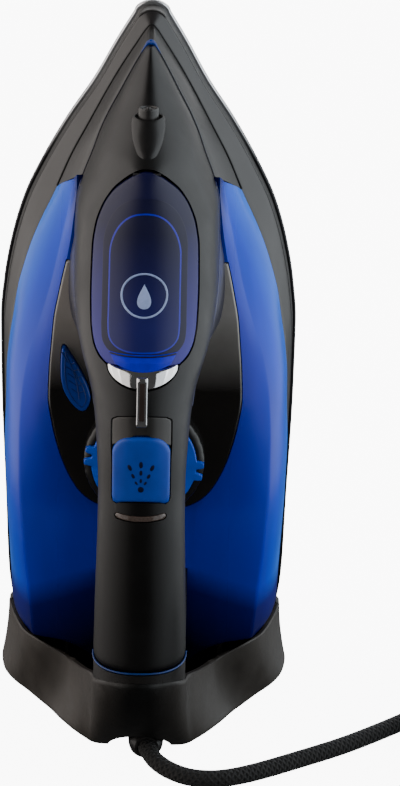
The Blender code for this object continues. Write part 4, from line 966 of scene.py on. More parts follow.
def blue_plastic(name, colour, rough):
    return plain(name, tone(*colour), rough + 0.06, (0.12, 110, 0.04), (1600, 0.03), specular=0.45)


def bright_metal(name, colour, rough):
    look = Look(name, colour, rough, 1.0)
    return look.vary(share=0.08, scale=220, rough=0.05).grain(700, 0.03, 0.0002, stretch=(1, 1, 9))


# ------------------------------------------------------------------ the sole and the lower body
def make_sole():
    levels = [(0.0, 1.3), (0.2, 0.75), (0.5, 0.3), (0.95, 0.0), (3.2, 0.0), (3.65, 0.16), (3.93, 0.5),
              (PLATE, 0.95)]
    item = loft("sole", [level(sole_outline(tuck), h) for h, tuck in levels])
    places = [(side * x, s) for side in (-1, 1) for x, s in STEAM_HOLES] + [(0, 248), (0, 210)]
    holes = [turned("hole", HOLE_PROFILE, at(x, s, 0), at(x, s, 10), 24) for x, s in places]
    item = boolean(item, join(holes, "holes"), sharp=12)
    look = Look("sole_metal", tone(205, 206, 208), 0.3, 1.0)
    _, depth, height = look.place()[:3]
    # painted shade: the sole's side wall above its bottom millimetre is painted dark grey from the heel to s
    # 215, fading back to the bare metal colour by s 250 towards the nose
    rim = look.math("MULTIPLY", look.range(depth, 0.0748, 0.0740), look.range(height, 0.25, 0.215))
    look.vary(look.mix(rim, tone(205, 206, 208), tone(58, 58, 60)), share=0.04, scale=60, rough=0.03)
    look.grain(420, 0.08, detail=3.0, stretch=(9, 9, 0.6))
    fit(item, "iron_body", look, "soleplate")


def make_skirts():
    """The heat shield on the sole, and the lower shell on the heat shield."""
    outer, wall, low_edge, high_edge = sole_outline(1.4), 2.2, PLATE + 0.3, 12.0
    levels = ((low_edge, 0.3), (PLATE + 0.6, 0.0), (8.0, 0.2), (11.7, 0.4), (high_edge, 0.7),
              (high_edge, wall), (low_edge, wall))
    shield = loft("heat_skirt", [level(inset(outer, tuck), h) for h, tuck in levels], closed=True)
    look = Look("skirt_plastic", tone(26, 25, 25), 0.46, specular=0.45)
    # painted sheen: the heat shield is painted lighter towards the nose, from s 262 to its tip
    nose = look.range(look.place()[2], 0.262, 0.274)
    look.vary(look.mix(nose, tone(26, 25, 25), tone(44, 42, 41)), share=0.12, scale=60)
    look.grain(420, 0.05, 0.0002).grain(1800, 0.03)
    fit(shield, "iron_body", look, "heat_shield")

    top = nosed(shell_flank, 28.4, SHELL_NOSE, 1.8, 33)
    low = nosed(lambda s: smooth(SOLE_HALF, s) - 2.0, 28.4, 276.6, 6.9, 33)
    foot = high_edge + 0.3
    rings = []
    for t, tuck in SHELL_TUCKS:
        loop = [(x0 + (x1 - x0) * t, s0 + (s1 - s0) * t) for (x0, s0), (x1, s1) in zip(low, top)]
        heights = [foot + (smooth(SHELL_HEIGHT, s) - foot) * t for _, s in top]
        rings.append([at(x, s, h) for (x, s), h in zip(inset(loop, tuck), heights)])
    shell = loft("shell", rings, closed=True)
    fit(shell, "iron_body", gloss_black("shell_plastic", (30, 28, 28), 0.28), "lower_shell")


def make_shroud():
    """The V-shaped panel round the nose, between the lower shell and the hood, with its blue lining."""
    low = nosed(shell_flank, 209.6, SHELL_NOSE - 0.3, 1.6, 33, 40)
    top = nosed(lambda s: smooth(HOOD_HALF, s) + 0.1, 222.0, 269.6, 1.7, 30, 40)
    rings = []
    for (x0, s0), (x1, s1) in zip(low, top):
        one = Vector((x0, s0, smooth(SHELL_HEIGHT, s0) + 0.4))
        two = Vector((x1, s1, smooth(HOOD_EDGE, s1) - 0.2))
        outer = []
        for share in (0.0, 0.03, 0.2, 0.4, 0.6, 0.8, 0.97, 1.0):
            point = one.lerp(two, share)
            point.x += math.copysign(0.5, x0) * math.sin(math.pi * share) if abs(x0) > 0.01 else 0.0
            if share in (0.0, 1.0):
                point.x *= 0.97
            outer.append(point)
        wall = min(2.0, abs(x0) * 0.4 + 0.3)
        inner = []
        for point in reversed(outer):
            pull = math.copysign(min(wall, abs(point.x) * 0.5), point.x)
            inner.append(Vector((point.x - pull, point.y - (1.0 if point.y > 265 else 0.0), point.z - 0.2)))
        rings.append([at(*p) for p in outer + inner])
    item = loft("shroud", rings)
    fit(item, "iron_body", gloss_black("shroud_plastic", (24, 22, 21), 0.26), "front_shroud")

    line = [at(x, s, smooth(HOOD_EDGE, s) + 0.1) for x, s in top]
    lining = tube("nose_lining", line, 0.42, radii=[0.42 + 0.9 * max(0.0, 1 - abs(x) / 2.6) for x, _ in top])
    look = Look("lining_blue", tone(10, 12, 30), 0.3, specular=0.4)
    tip = look.range(look.place()[2], 0.2655, 0.2675)
    look.vary(look.mix(tip, tone(10, 12, 30), tone(0, 52, 140)), share=0.12, scale=160)
    look.grain(300, 0.03, 0.0003).grain(1600, 0.015)
    put(lining, "iron_body", look, "front_shroud")
    line = [at(x * 1.004, s + 0.1, smooth(SHELL_HEIGHT, s) + 0.25) for x, s in low]
    put(tube("nose_seam", line, 0.42), "iron_body", matt_black("seam_black", (4, 4, 5), 0.6), "front_shroud")
    for side, name in ((-1, "hood_seam_left"), (1, "hood_seam_right")):
        line = [at(side * (smooth(HOOD_HALF, s) + 0.05), s, smooth(HOOD_EDGE, s) + 0.4)
                for s in spread(152, 221, 70)]
        put(tube(name, line, 0.32), "iron_body", blue_plastic(name, (10, 24, 84), 0.3), "upper_housing")


# ------------------------------------------------------------------ the tank, the console and the dial
def tank_section(s):
    """The right half of the tank's section, from its foot over the crease to its inner edge."""
    low, rise = smooth(SHELL_HALF, s), smooth(SHELL_HEIGHT, s) + 0.5
    foot = Vector((low, rise))
    ridge = Vector((smooth(CREASE_HALF, s), smooth(CREASE_HEIGHT, s)))
    deck = Vector((smooth(DECK_HALF, s), smooth(DECK_HEIGHT, s)))
    flank = [foot.lerp(ridge, t) + Vector((1.8, 0)) * math.sin(math.pi * t)
             for t in (0.0, 0.03, 0.1, 0.2, 0.32, 0.44, 0.56, 0.68, 0.8, 0.91, 0.975)]
    top = [ridge.lerp(deck, t) + Vector((0, 0.8)) * math.sin(math.pi * t)
           for t in (0.05, 0.14, 0.28, 0.42, 0.56, 0.7, 0.84, 0.95, 1.0)]
    crease = [bend(flank[-1], ridge, top[0], t) for t in (0.25, 0.5, 0.75)]
    return [Vector((low - 0.9, rise - 1.2))] + flank + crease + top


def make_tank():
    rings = []
    for share in [0.0, 0.004, 0.012] + spread(0.03, 0.97, 62) + [0.988, 0.996, 1.0]:
        right = []
        count = len(tank_section(100))
        for k in range(count):
            start, end = smooth(TANK_REAR, k / (count - 1)), smooth(TANK_FRONT, k / (count - 1))
            s = start + (end - start) * share
            here = tank_section(s)[k]
            right.append((here.x, s, here.y))
        tuck = {0.0: 0.5, 0.004: 0.15, 0.996: 0.15, 1.0: 0.5}.get(share, 0.0)
        section = mirrored(right)
        flat = [(x, h) for x, _, h in section]
        moved = inset(flat, tuck) if tuck else flat
        rings.append([at(x, s, h) for (x, h), (_, s, _) in zip(moved, section)])
    item = loft("tank", rings, sharp=28, caps="strips")
    item = cut(item, block("core", (-19, 10, 0), (19, 178, 56)),
               block("slot", (-17.6, 10, 20), (17.6, 65.6, 90)),
               prism("recess", console_outline(0.4), 47.0, 90.0))
    front = [(209.2 + (h - 27) * 0.477, h) for h in (0, 80)]
    item = cut(item, block("throat", (-24, 189, 49), (24, 230, 90)),
               prism("front", front + [(250, 80), (250, 0)], -60, 60, "side"), sharp=28)
    fit(item, "iron_body", tank_look(), "water_tank")


def tank_look():
    """Blue tinted plastic with painted light: pale towards its edge by the sole as a painted reflection of
    the bright sides, deep on its deck, and navy from painted shade at its foot by the heel and along its
    inner edge under the hood.
    """
    look = Look("tank_plastic", tone(0, 40, 190), 0.26, specular=0.17)
    x, y, z = look.place()[:3]
    wide = look.math("ABSOLUTE", x)
    # painted reflection: paler towards the edge by the sole, as if the flank mirrored the bright sides, and
    # deeper blue up on the deck
    body = look.ramp(look.range(y, 0.004, 0.062),
                     [(0.0, tone(0, 22, 140)), (0.16, tone(0, 38, 176)), (0.42, tone(0, 70, 220)),
                      (0.72, tone(20, 124, 250)), (0.93, tone(84, 142, 250)), (1.0, tone(118, 146, 240))])
    # painted shade: near black navy at the tank's rear end by the heel, under the handle, lightening by s 75
    lean = look.math("ADD", z, look.math("MULTIPLY", wide, 0.43))
    foot = look.ramp(look.range(lean, 0.040, 0.0745),
                     [(0.0, (0.0, 0.0, 0.03)), (0.7, (0.02, 0.04, 0.28)), (1.0, (1.0, 1.0, 1.0))])
    flow = look.noise(34, 3.0, 0.55, stretch=(1.0, 1.0, 0.35))
    flow = look.ramp(flow, [(0.35, (0.72, 0.76, 0.86)), (0.55, (1.0, 1.0, 1.0)), (0.75, (1.25, 1.18, 1.08))])
    # painted shade: dark navy along the tank's inner edge in front of s 187, under the hood's sides
    inner = look.math("MULTIPLY", look.range(wide, 0.0305, 0.0265), look.range(z, 0.181, 0.187))
    body = look.mix(inner, body, tone(0, 8, 70))
    colour = look.mix(1.0, look.mix(1.0, body, foot, "MULTIPLY"), flow, "MULTIPLY")
    look.link(colour, look.shader.inputs["Base Color"])
    look.link(look.range(wide, 0.0, 0.06, 0.24, 0.3), look.shader.inputs["Roughness"])
    return look.grain(55, 0.06, 0.0006).grain(1800, 0.012)


def make_console():
    """The black panel round the dial, with the self-clean button's leaf."""
    def deck(x, s):
        return smooth(DECK_HEIGHT, s) + 0.9
    item = plate("console_panel", console_outline(0.0), deck, 3.9, edge=0.7, rows=12)
    item = cut(item, rod("shaft_hole", 4.2, at(0, DIAL_S, 50), at(0, DIAL_S, 90)),
               prism("leaf_hole", leaf_outline(-0.4), 50.0, 90.0),
               block("duct", (-12, 168, 40), (12, 184, 90)))
    look = Look("console_gloss", tone(12, 10, 9), 0.2, specular=0.6)
    # painted reflection: the black panel is painted light grey towards its front end, between s 140 and 170,
    # where it would mirror the hood
    upper = look.range(look.place()[2], 0.140, 0.170)
    look.vary(look.mix(upper, tone(20, 17, 15), tone(140, 136, 132)), share=0.15, scale=90)
    look.grain(260, 0.02, 0.0003).grain(1500, 0.015)
    fit(item, "iron_body", look, "console")

    leaf = plate("leaf", leaf_outline(0.0), lambda x, s: LEAF_TOP, 7.0, 0.6, 6)
    fit(leaf, "self_clean", blue_plastic("leaf_blue", (0, 52, 150), 0.26), "self_clean_button")
    spine = curve_through([(-30.6, 155.2), (-28.2, 149.6), (-26.4, 143.5), (-25.4, 137.0)], 6)
    veins = [tube("vein", level(spine, LEAF_TOP), 0.35, 8)]
    for (x, s), reach in LEAF_VEINS:
        for side in (-1, 1):
            ends = [(x, s), (x + side * reach, s + reach * 0.55 - side * 0.5)]
            veins.append(tube("vein", level(ends, LEAF_TOP + 0.02), 0.24, 6))
    veins.append(tube("vein", level(leaf_outline(1.7), LEAF_TOP), 0.26, 8, closed=True))
    look = blue_plastic("leaf_dark", (0, 34, 110), 0.35)
    put(join(veins, "leaf_veins"), "self_clean", look, "self_clean_button")


def make_dial():
    r = DIAL_RADIUS

    def grip(angle, radius, distance):
        on_edge = radius > r - 1.3 and 0.6 < distance < 5.1
        return -0.2 * max(0.0, math.cos(angle * 30)) ** 2 if on_edge else 0.0
    profile = [(2.9, 5.6)] + [(r - back, h) for back, h in KNOB_PROFILE]
    profile += [(4.0, 0.0), (4.0, -1.4), (2.9, -1.4), (2.9, 5.6)]
    knob = turned("knob", profile, at(0, DIAL_S, DIAL_FOOT), at(0, DIAL_S, DIAL_FOOT + 6), 240, wave=grip)
    fit(knob, "dial", gloss_black("knob_black", (20, 19, 19), 0.22), "dial_knob")
    outline = []
    for degrees in range(360):
        offset = abs(abs((degrees + 90) % 180 - 90) - 6.5)
        reach = 20.4 + 2.9 * clamp((4.1 - offset) / 0.9)
        angle = math.radians(degrees) - DIAL_TURN
        outline.append((reach * math.cos(angle), DIAL_S + reach * math.sin(angle)))
    item = plate("disc", outline, lambda x, s: DIAL_FOOT + 7.6, 1.7, 0.45, 6)
    fit(item, "dial", blue_plastic("disc_blue", (8, 78, 200), 0.2), "dial_disc")


# ------------------------------------------------------------------ the housing
BOW = math.tan(math.radians(20))
BURST_TOP = 158.2


def bowed(x, station=140.0):
    """How far an edge that runs across the handle bends towards the heel at x."""
    return BOW * (crown(0, station) - crown(x, station))


def key_arch(x):
    """The spray button's front edge: flat in its middle, with round shoulders."""
    share = min(abs(x), BUTTON_HALF) / BUTTON_HALF
    return 150.6 - 0.55 * bowed(x) - 4.6 * share ** 5


def corner(x, s, radius, start, end, steps=6):
    return [(x + radius * math.cos(a), s + radius * math.sin(a))
            for a in spread(math.radians(start), math.radians(end), steps)]


def spray_outline():
    half, foot = BUTTON_HALF, SPRAY_REAR
    right = [(x, foot - 0.9 * bowed(x)) for x in spread(0, half - 2.2, 8)]
    right += corner(half - 1.9, foot - 0.9 * bowed(half) + 1.9, 1.9, -80, 0, 9)
    right += [(half, s) for s in spread(foot + 2.4, key_arch(half) - 0.3, 14)]
    right += [(x, key_arch(x)) for x in spread(half - 0.25, 0.0, 26)]
    return mirrored(right)


def burst_outline():
    half = BURST_HALF
    right = [(x, key_arch(x) + 0.55 + 0.35 * (x / BUTTON_HALF) ** 4) for x in spread(0.0, BUTTON_HALF, 26)]
    right += [(half, s) for s in spread(key_arch(half) + 1.4, BURST_TOP - bowed(half) - 1.6, 8)]
    right += corner(half - 1.5, BURST_TOP - bowed(half) - 1.4, 1.5, 12, 78)
    right += [(x, BURST_TOP - bowed(x)) for x in spread(half - 1.7, 0.0, 12)]
    return mirrored(right)


def keys_outline():
    """The outline of both buttons together, which the hood is open for."""
    lower = [(x, s) for x, s in spray_outline() if x >= 0 and s < 140]
    upper = [(x, s) for x, s in burst_outline()
             if x >= 0 and (s > 150 or x > 10.7) and s > max(146.5, key_arch(x) + 0.9)]
    return mirrored(lower + upper)


def lens_outline():
    """The indicator lens: a band of even width, curved up at both ends."""
    def line(x):
        return 119.1 + 0.75 * (x / 9.3) ** 2
    low = [(x, line(x) - 1.05) for x in spread(0.0, 8.2, 18)]
    high = [(x, line(x) + 1.05) for x in spread(8.2, 0.0, 18)]
    return mirrored(low + corner(8.2, line(8.2), 1.12, -75, 75, 9) + high)


def make_hood():
    """The long cover over the nose, the lid's opening, the keys and the handle, with its nozzle."""
    wall = 2.5
    stations = [57.8, 58.1, 58.6, 60] + spread(62, 148, 30) + spread(150, 235, 70) + spread(236, 257, 22)
    stations += spread(258, 267.4, 9) + [268.0, 268.5, 268.8]
    rings = []
    for s in reversed(stations):
        half, edge, top = hood_edge(s)
        tuck = {57.8: 0.7, 58.1: 0.3, 58.6: 0.08, 268.8: 0.5, 268.5: 0.2}.get(s, 0.0)
        side, roof = min(wall, half * 0.45), min(wall, (top - edge) * 0.45)
        power = smooth(HOOD_POWER, s)
        outer = arch(half - tuck, edge, top - tuck, 61, power)
        inner = arch(half - side - tuck, edge, top - roof - tuck, 61, power)
        rings.append([at(x, s, h) for x, h in outer + inner[::-1]])
    item = loft("hood", rings, sharp=30)
    cowl = [[at(x, s, h + rise * 0.95) for x, rise in disc(radius, 48)] for s, h, radius in COWL]
    item = boolean(item, loft("cowl", cowl), "UNION", sharp=30)
    crescent = [(0.0, 166.7)] + [((CRESCENT_HALF + 0.2) * math.sin(a), LID_REAR - 7.7 * math.cos(a))
                                 for a in spread(0.15, math.pi / 2 - 0.06, 14)]
    side = [(x, s + 0.55 * clamp((s - 226) / 7)) for x, s in lid_outline(-0.6)
            if x > 0 and s > LID_REAR + 0.6]
    item = cut(item, rod("bore", 4.2, at(0, 244.5, NOZZLE_H), at(0, 262, NOZZLE_H), 48),
               rod("bore_mouth", 5.2, at(0, 249.4, NOZZLE_H), at(0, 262, NOZZLE_H), 48),
               prism("opening", mirrored(crescent + side), 84, 170),
               prism("button_opening", inset(keys_outline(), -0.45), 136, 170),
               block("lever_slot", (-1.9, 161.9, 130), (1.9, 170.0, 160)),
               prism("lens_opening", inset(lens_outline(), -0.3), 138, 170), sharp=30)
    look = plain("hood_plastic", tone(9, 8, 8), 0.4, (0.12, 50, 0.05), (700, 0.03, 0.0002), (2600, 0.08),
                 specular=0.36)
    fit(item, "iron_body", look, "upper_housing")
    nozzle = turned("nozzle", NOZZLE_PROFILE, at(0, 245.2, NOZZLE_H), at(0, 254.2, NOZZLE_H), 48, sharp=40)
    fit(nozzle, "iron_body", gloss_black("nozzle_black", (30, 28, 27), 0.28), "spray_nozzle")


def lid_outline(amount):
    stations = [174.4, 174.7, 175.2, 175.8] + spread(176.5, 233, 80) + [234, 234.6, 235.1, 235.5]
    right = [(min(smooth(LID_HALF, s), math.sqrt(22 * (LID_FRONT - s))), s) for s in stations]
    return inset(mirrored(right + [(0.0, LID_FRONT)]), amount)


def arched_zone(half, low, high, radius, amount=0.0):
    """The lid's inner outlines: straight sides, a long arch at the top and round lower corners."""
    right = [(0.0, low - 1.2), (half * 0.45, low - 0.9), (half * 0.78, low + 0.4),
             (half * 0.96, low + radius * 0.62), (half, low + radius * 1.5)]
    spring = high - half * 1.05
    right += [(half, s) for s in spread(low + radius * 2, spring, 5)]
    right += [(half * math.cos(a) ** 0.86, spring + half * 1.05 * math.sin(a) ** 1.12)
              for a in spread(0.14, math.pi / 2 - 0.05, 12)]
    fine = curve_through(right + [(0.0, high)], 3)
    return inset(mirrored([(max(0.0, p.x), p.y) for p in fine]), amount)


def make_lid():
    """The lid's shell on its hinge barrel, with its printed zone, line and panel."""
    item = plate("lid_shell", lid_outline(0.0), lid_top, 2.4, edge=0.6, rows=14)
    item = boolean(item, rod("barrel", 1.0, at(-2.0, 234.5, 96.2), at(2.0, 234.5, 96.2)), "UNION")
    item = boolean(item, rod("bore", 0.7, at(-8, 234.7, 96.2), at(8, 234.7, 96.2)))

    def blue(name, colour, share, scale, graded=None):
        look = Look(name, tone(*colour), 0.36, specular=0.28)
        look.vary(graded(look) if graded else None, share=share, scale=scale, rough=0.02)
        return look.grain(1700, 0.012)

    def border(look):
        height = look.range(look.place()[2], 0.178, 0.218)
        return look.mix(height, tone(52, 48, 140), tone(15, 15, 58))

    def panel(look):
        height = look.range(look.place()[2], 0.186, 0.216)
        return look.ramp(height, [(0.0, tone(24, 26, 92)), (1.0, tone(14, 14, 50))])
    fit(item, "filler_lid", blue("lid_border", (34, 34, 96), 0.12, 70, border), "lid")
    looks = {"lid_tint": blue("lid_tint", (12, 12, 50), 0.15, 80),
             "lid_line": blue_plastic("lid_line", (0, 8, 176), 0.36),
             "lid_panel": blue("lid_panel", (10, 9, 36), 0.1, 70, panel)}
    for name, zone, edge, rows, lift in (("lid_tint", (15.6, 178.0, 227.5, 5.0), 0.2, 10, 0.07),
                                         ("lid_line", (*LID_PANEL, -0.2), 0.2, 10, 0.14),
                                         ("lid_panel", (*LID_PANEL, 0.24), 0.15, 12, 0.15)):
        zone = plate(name, arched_zone(*zone), lid_top, 0.8, edge, rows, lift=lift)
        put(zone, "filler_lid", looks[name], "lid")
    make_lid_icon()
    make_lid_lip()


def make_lid_icon():
    """A ring with a water drop in it, printed on the lid."""
    middle, reach, slope = 196.7, 8.3, 0.823
    ring = [(u, middle + v * slope) for u, v in disc(reach, 96)]
    drop = [(2.9 * math.sin(a) * math.sin(a / 2) ** 1.5 * 1.25, middle + (4.8 * math.cos(a) - 0.2) * slope)
            for a in angles(60)]
    centre = sum(s for _, s in drop) / len(drop)
    rings = [over([(u * share, centre + (s - centre) * share) for u, s in drop], lid_top, lift)
             for share, lift in ((1.0, -0.4), (1.0, 0.3), (0.95, 0.42), (0.6, 0.45), (0.05, 0.46))]
    items = [tube("ring", over(ring, lid_top, 0.05), 0.42, 8, closed=True), loft("drop", rings)]
    look = plain("print_blue", tone(150, 168, 214), 0.35, (0.1, 400, 0.05), (3000, 0.05), specular=0.4)
    put(join(items, "lid_icon"), "filler_lid", look, "lid")


def make_lid_lip():
    """The finger lip at the lid's rear, in two facets with a dark line between them."""
    def lifted(x, s):
        ridge = max(0.0, 1 - abs(s - 176.0) / 2.3)
        return lid_top(x, s) + 0.3 + 0.9 * ridge * (1 - (abs(x) / 13.5) ** 2)

    def smile(middle, rise, low, high, count, scale=12.4):
        return [(x, middle + rise * (x / scale) ** 2) for x in spread(low, high, count)]
    outline = smile(172.9, 3.2, -10.2, 10.2, 31) + smile(178.3, 0.3, 12.6, -12.6, 31)
    lip = plate("lid_lip", outline, lifted, 1.4, edge=0.35, rows=18, sharp=40)
    look = plain("lip_blue", tone(0, 14, 190), 0.32, (0.12, 180, 0.03), (1700, 0.015), specular=0.25)
    put(lip, "filler_lid", look, "lid")
    arc = smile(177.8, 0.3, -12.0, 12.0, 41, 12.0)
    groove = tube("lip_line", over(arc, lifted, -0.02), 0.34, 8)
    put(groove, "filler_lid", gloss_black("lip_line_black", (8, 8, 14), 0.3), "lid")


def make_crescent():
    reach = CRESCENT_HALF - 0.4

    def edge(x):
        return LID_REAR - 7.2 * math.sqrt(1 - (x / CRESCENT_HALF) ** 2)

    def domed(x, s):
        t = (s - edge(max(-reach, min(reach, x)))) / 6.0
        return crown(x, s, 0.2) + 0.5 * math.sin(math.pi * clamp(t))
    xs = [reach * math.sin(a) for a in spread(-math.pi / 2, math.pi / 2, 41)]
    outline = [(x, edge(x)) for x in xs]
    outline += [(x, 173.3 + 1.3 * (x / CRESCENT_HALF) ** 2) for x in spread(reach, -reach, 41)]
    item = plate("crescent", outline, domed, 2.4, edge=0.5, rows=16)
    item = boolean(item, block("slot", (-2.15, 160, 120), (2.15, 170.6, 160)))
    look = bright_metal("crescent_chrome", (0.90, 0.90, 0.91), 0.07)
    fit(item, "iron_body", look, "chrome_crescent")


def make_lever():
    side = [(155.4, 148.3), (171.6, 141.7), (172.0, 143.2), (170.6, 144.2), (156.4, 149.8), (155.3, 149.6)]
    side = rounded(side, [0.3, 0.3, 0.5, 0.9, 0.6, 0.3], 4)
    tucks = ((-2.0, 0.35), (-1.85, 0.1), (-1.6, 0.0), (1.6, 0.0), (1.85, 0.1), (2.0, 0.35))
    lever = loft("lever_frame", [[at(x, s, h) for s, h in inset(side, tuck)] for x, tuck in tucks])
    stem = [(163.6, 145.2), (166.2, 144.4), (166.2, 129.4), (173.6, 129.4), (173.6, 126.4), (163.6, 126.4)]
    lever = boolean(lever, prism("stem", stem, -1.5, 1.5, "side"), "UNION")
    groove = [(157.0, 148.8), (157.5, 151.0), (171.5, 146.0), (170.4, 143.5)]
    lever = boolean(lever, prism("groove", groove, -1.15, 1.15, "side"))
    look = bright_metal("lever_chrome", (0.88, 0.88, 0.9), 0.1)
    fit(lever, "lever", look, "steam_lever")
    insert = rounded([(157.3, 148.9), (157.5, 149.35), (170.2, 144.3), (170.0, 143.85)], 0.12, 3)
    fit(prism("lever_insert", insert, -0.95, 0.95, "side"), "lever",
        gloss_black("insert_brown", (40, 28, 24), 0.3), "steam_lever_insert")


def make_buttons():
    """The spray button with its printed dots, and the burst key in front of it."""
    def crowned(x, s):
        return crown(x * 0.8, s) + 0.6

    def dished(x, s):
        across = 1 - (abs(x) / BURST_HALF) ** 4
        return crown(x, s, 0.2) - 0.5 * across * math.sin(math.pi * clamp((s - 147) / 12.3))
    look = plain("key_blue", tone(0, 64, 168), 0.38, (0.1, 120, 0.05), (900, 0.05, 0.0002), (2600, 0.06),
                 specular=0.35)
    button = plate("spray_key", spray_outline(), crowned, 4.6, edge=1.1, rows=14)
    fit(button, "spray", look, "spray_button")
    marks = SPRAY_DOTS + [(side * x, *rest) for side in (-1, 1) for x, *rest in SPRAY_SIDE_DOTS]
    dots = []
    for x, s, long_half, thin in marks:
        lean = math.atan2(x, s - DOTS_FOOT) if s > DOTS_FOOT + 0.9 else 0.0
        loop = []
        for a in angles(28):
            u, v = long_half * thin * math.cos(a), long_half * math.sin(a)
            loop.append((x + u * math.cos(lean) + v * math.sin(lean),
                         s - u * math.sin(lean) + v * math.cos(lean)))
        dots.append(plate("mark", loop, crowned, 0.4, edge=0.08, rows=2, lift=0.06))
    look = plain("mark_navy", tone(4, 10, 44), 0.4, (0.2, 400, 0.05), (3000, 0.05), specular=0.4)
    put(join(dots, "spray_marks"), "spray", look, "spray_button")
    burst = plate("burst_key", burst_outline(), dished, 3.4, edge=0.5, rows=16)
    look = plain("burst_grey", tone(46, 44, 42), 0.34, (0.1, 150, 0.06), (2400, 0.03), metal=0.25,
                 specular=0.6)
    fit(burst, "burst", look, "burst_button")


def make_lens():
    item = plate("lens", lens_outline(), lambda x, s: crown(x, s) + 0.05, 2.2, edge=0.4, rows=12)
    look = plain("lens_brown", tone(82, 70, 64), 0.16, (0.3, 1300, 0.06), (1600, 0.1), coat=0.4)
    fit(item, "iron_body", look, "indicator_lens")


def make_grip():
    """The handle's underside: a trough along the handle that turns down into the deck."""
    wall, bend_radius = 2.2, 5.0
    route = curve_through(GRIP_ROUTE, 5)
    rings = []
    for k, (s, h) in enumerate(route):
        along = (route[min(len(route) - 1, k + 1)] - route[max(0, k - 1)]).normalized()
        into = Vector((-along.y, along.x))
        half, deep = smooth(GRIP_HALF, s), smooth(GRIP_DEPTH, s)
        outer = [(half, deep), (half, 6.4), (half - 0.1, 5.0)]
        outer += [(half - bend_radius + bend_radius * math.cos(a), bend_radius - bend_radius * math.sin(a))
                  for a in spread(0.2, math.pi / 2, 8)]
        outer += [(x, -0.25 * math.cos(x / (half - bend_radius) * math.pi / 2))
                  for x in (half - 7.5, half * 0.3, 0.0)]
        inner = [(half - wall, deep), (half - wall, 5.6), (half - wall - 0.5, 4.3), (half - 4.0, 3.0),
                 (half - 5.6, wall), (0.0, wall)]
        ring = mirrored(outer) + mirrored(inner)[::-1]
        rings.append([at(x, s + into.x * d, h + into.y * d) for x, d in ring])
    fit(loft("grip", rings), "iron_body", matt_black("grip_plastic", (26, 24, 23), 0.45), "grip_underside")


def make_neck_walls():
    for side, name in ((-1, "neck_wall_left"), (1, "neck_wall_right")):
        rings = []
        for s in spread(168, 219, 52):
            foot, low = smooth(STRIP_FOOT, s), smooth(DECK_HEIGHT, s) + 1.6
            high = max(smooth(HOOD_EDGE, s) - 0.5, low + 0.8)
            top = min(smooth(HOOD_HALF, s) - 0.4, foot)
            wall = [(foot - 0.3, low)] + [(foot + (top - foot) * t, low + (high - low) * t)
                                          for t in (0.04, 0.3, 0.6, 0.96)]
            wall += [(top - 0.3, high), (top - 1.8, high), (foot - 1.8, low)]
            rings.append([at(side * x, s, h) for x, h in wall])
        fit(loft(name, rings), "iron_body", gloss_black(name, (8, 12, 44), 0.2), name)


# ------------------------------------------------------------------ the heel
def make_column():
    """The handle's rear foot on the heel, and the blue trim round the handle's end."""
    item = prism("column", COLUMN_SIDE, -20.0, 20.0, "side")
    rings = []
    for s in (20, 40, 57, 80):
        half = smooth(HOOD_HALF, max(s, 57)) - 0.1
        rings.append([at(x, s, h) for x, h in [(half, 50), *arch(half, 128.0, 149.0, 65), (-half, 50)]])
    item = boolean(item, loft("form", rings), "INTERSECT")
    item = boolean(item, block("hollow", (-13.5, 34.5, 50), (13.5, 61.6, 108)))
    item = boolean(item, block("tenon", (-9.5, 54.6, 121), (9.5, 59.6, 143)), "UNION")
    look = matt_black("column_plastic", (24, 22, 21), 0.45)
    fit(item, "iron_body", look, "rear_column")
    ring = tube("handle_trim", [at(x, 57.0, h) for x, h in arch(17.55, 128.0, 149.05, 65)], 0.36, 12)
    fit(ring, "iron_body", blue_plastic("trim_blue", (12, 50, 112), 0.34), "trim_ring")


HEEL_STATIONS = [0.0, 0.012, 0.03, 0.06] + [0.1 + 0.9 * k / 20 for k in range(20)] + [0.985, 1.0]


def heel_rings(wall, shares):
    """Sections from the foot rim to the front edge, point for point, flaring near the foot."""
    rim = curve_through(HEEL_RIM, 4)
    front = curve_through(HEEL_FRONT, 4)
    rings = []
    for t in shares:
        lean = 1 - max(0.0, 1 - t) ** 1.7
        right = []
        for low, high in zip(rim, front):
            x, h = low.x + (high.x - low.x) * lean, low.y + (high.y - low.y) * lean
            right.append((max(0.0, x), h, high.z * t + HEEL_BACK * (1 - t) * bool(wall)))
        loop = right + [(-x, h, s) for x, h, s in reversed(right[1:-1])]
        tuck = {0.0: 1.1, 0.012: 0.45, 0.03: 0.1, 1.0: 0.45}.get(t, 0.0)
        section = inset([(x, h) for x, h, _ in loop], wall or tuck)
        rings.append([at(x, s, h) for (x, h), (_, _, s) in zip(section, loop)])
    return rings


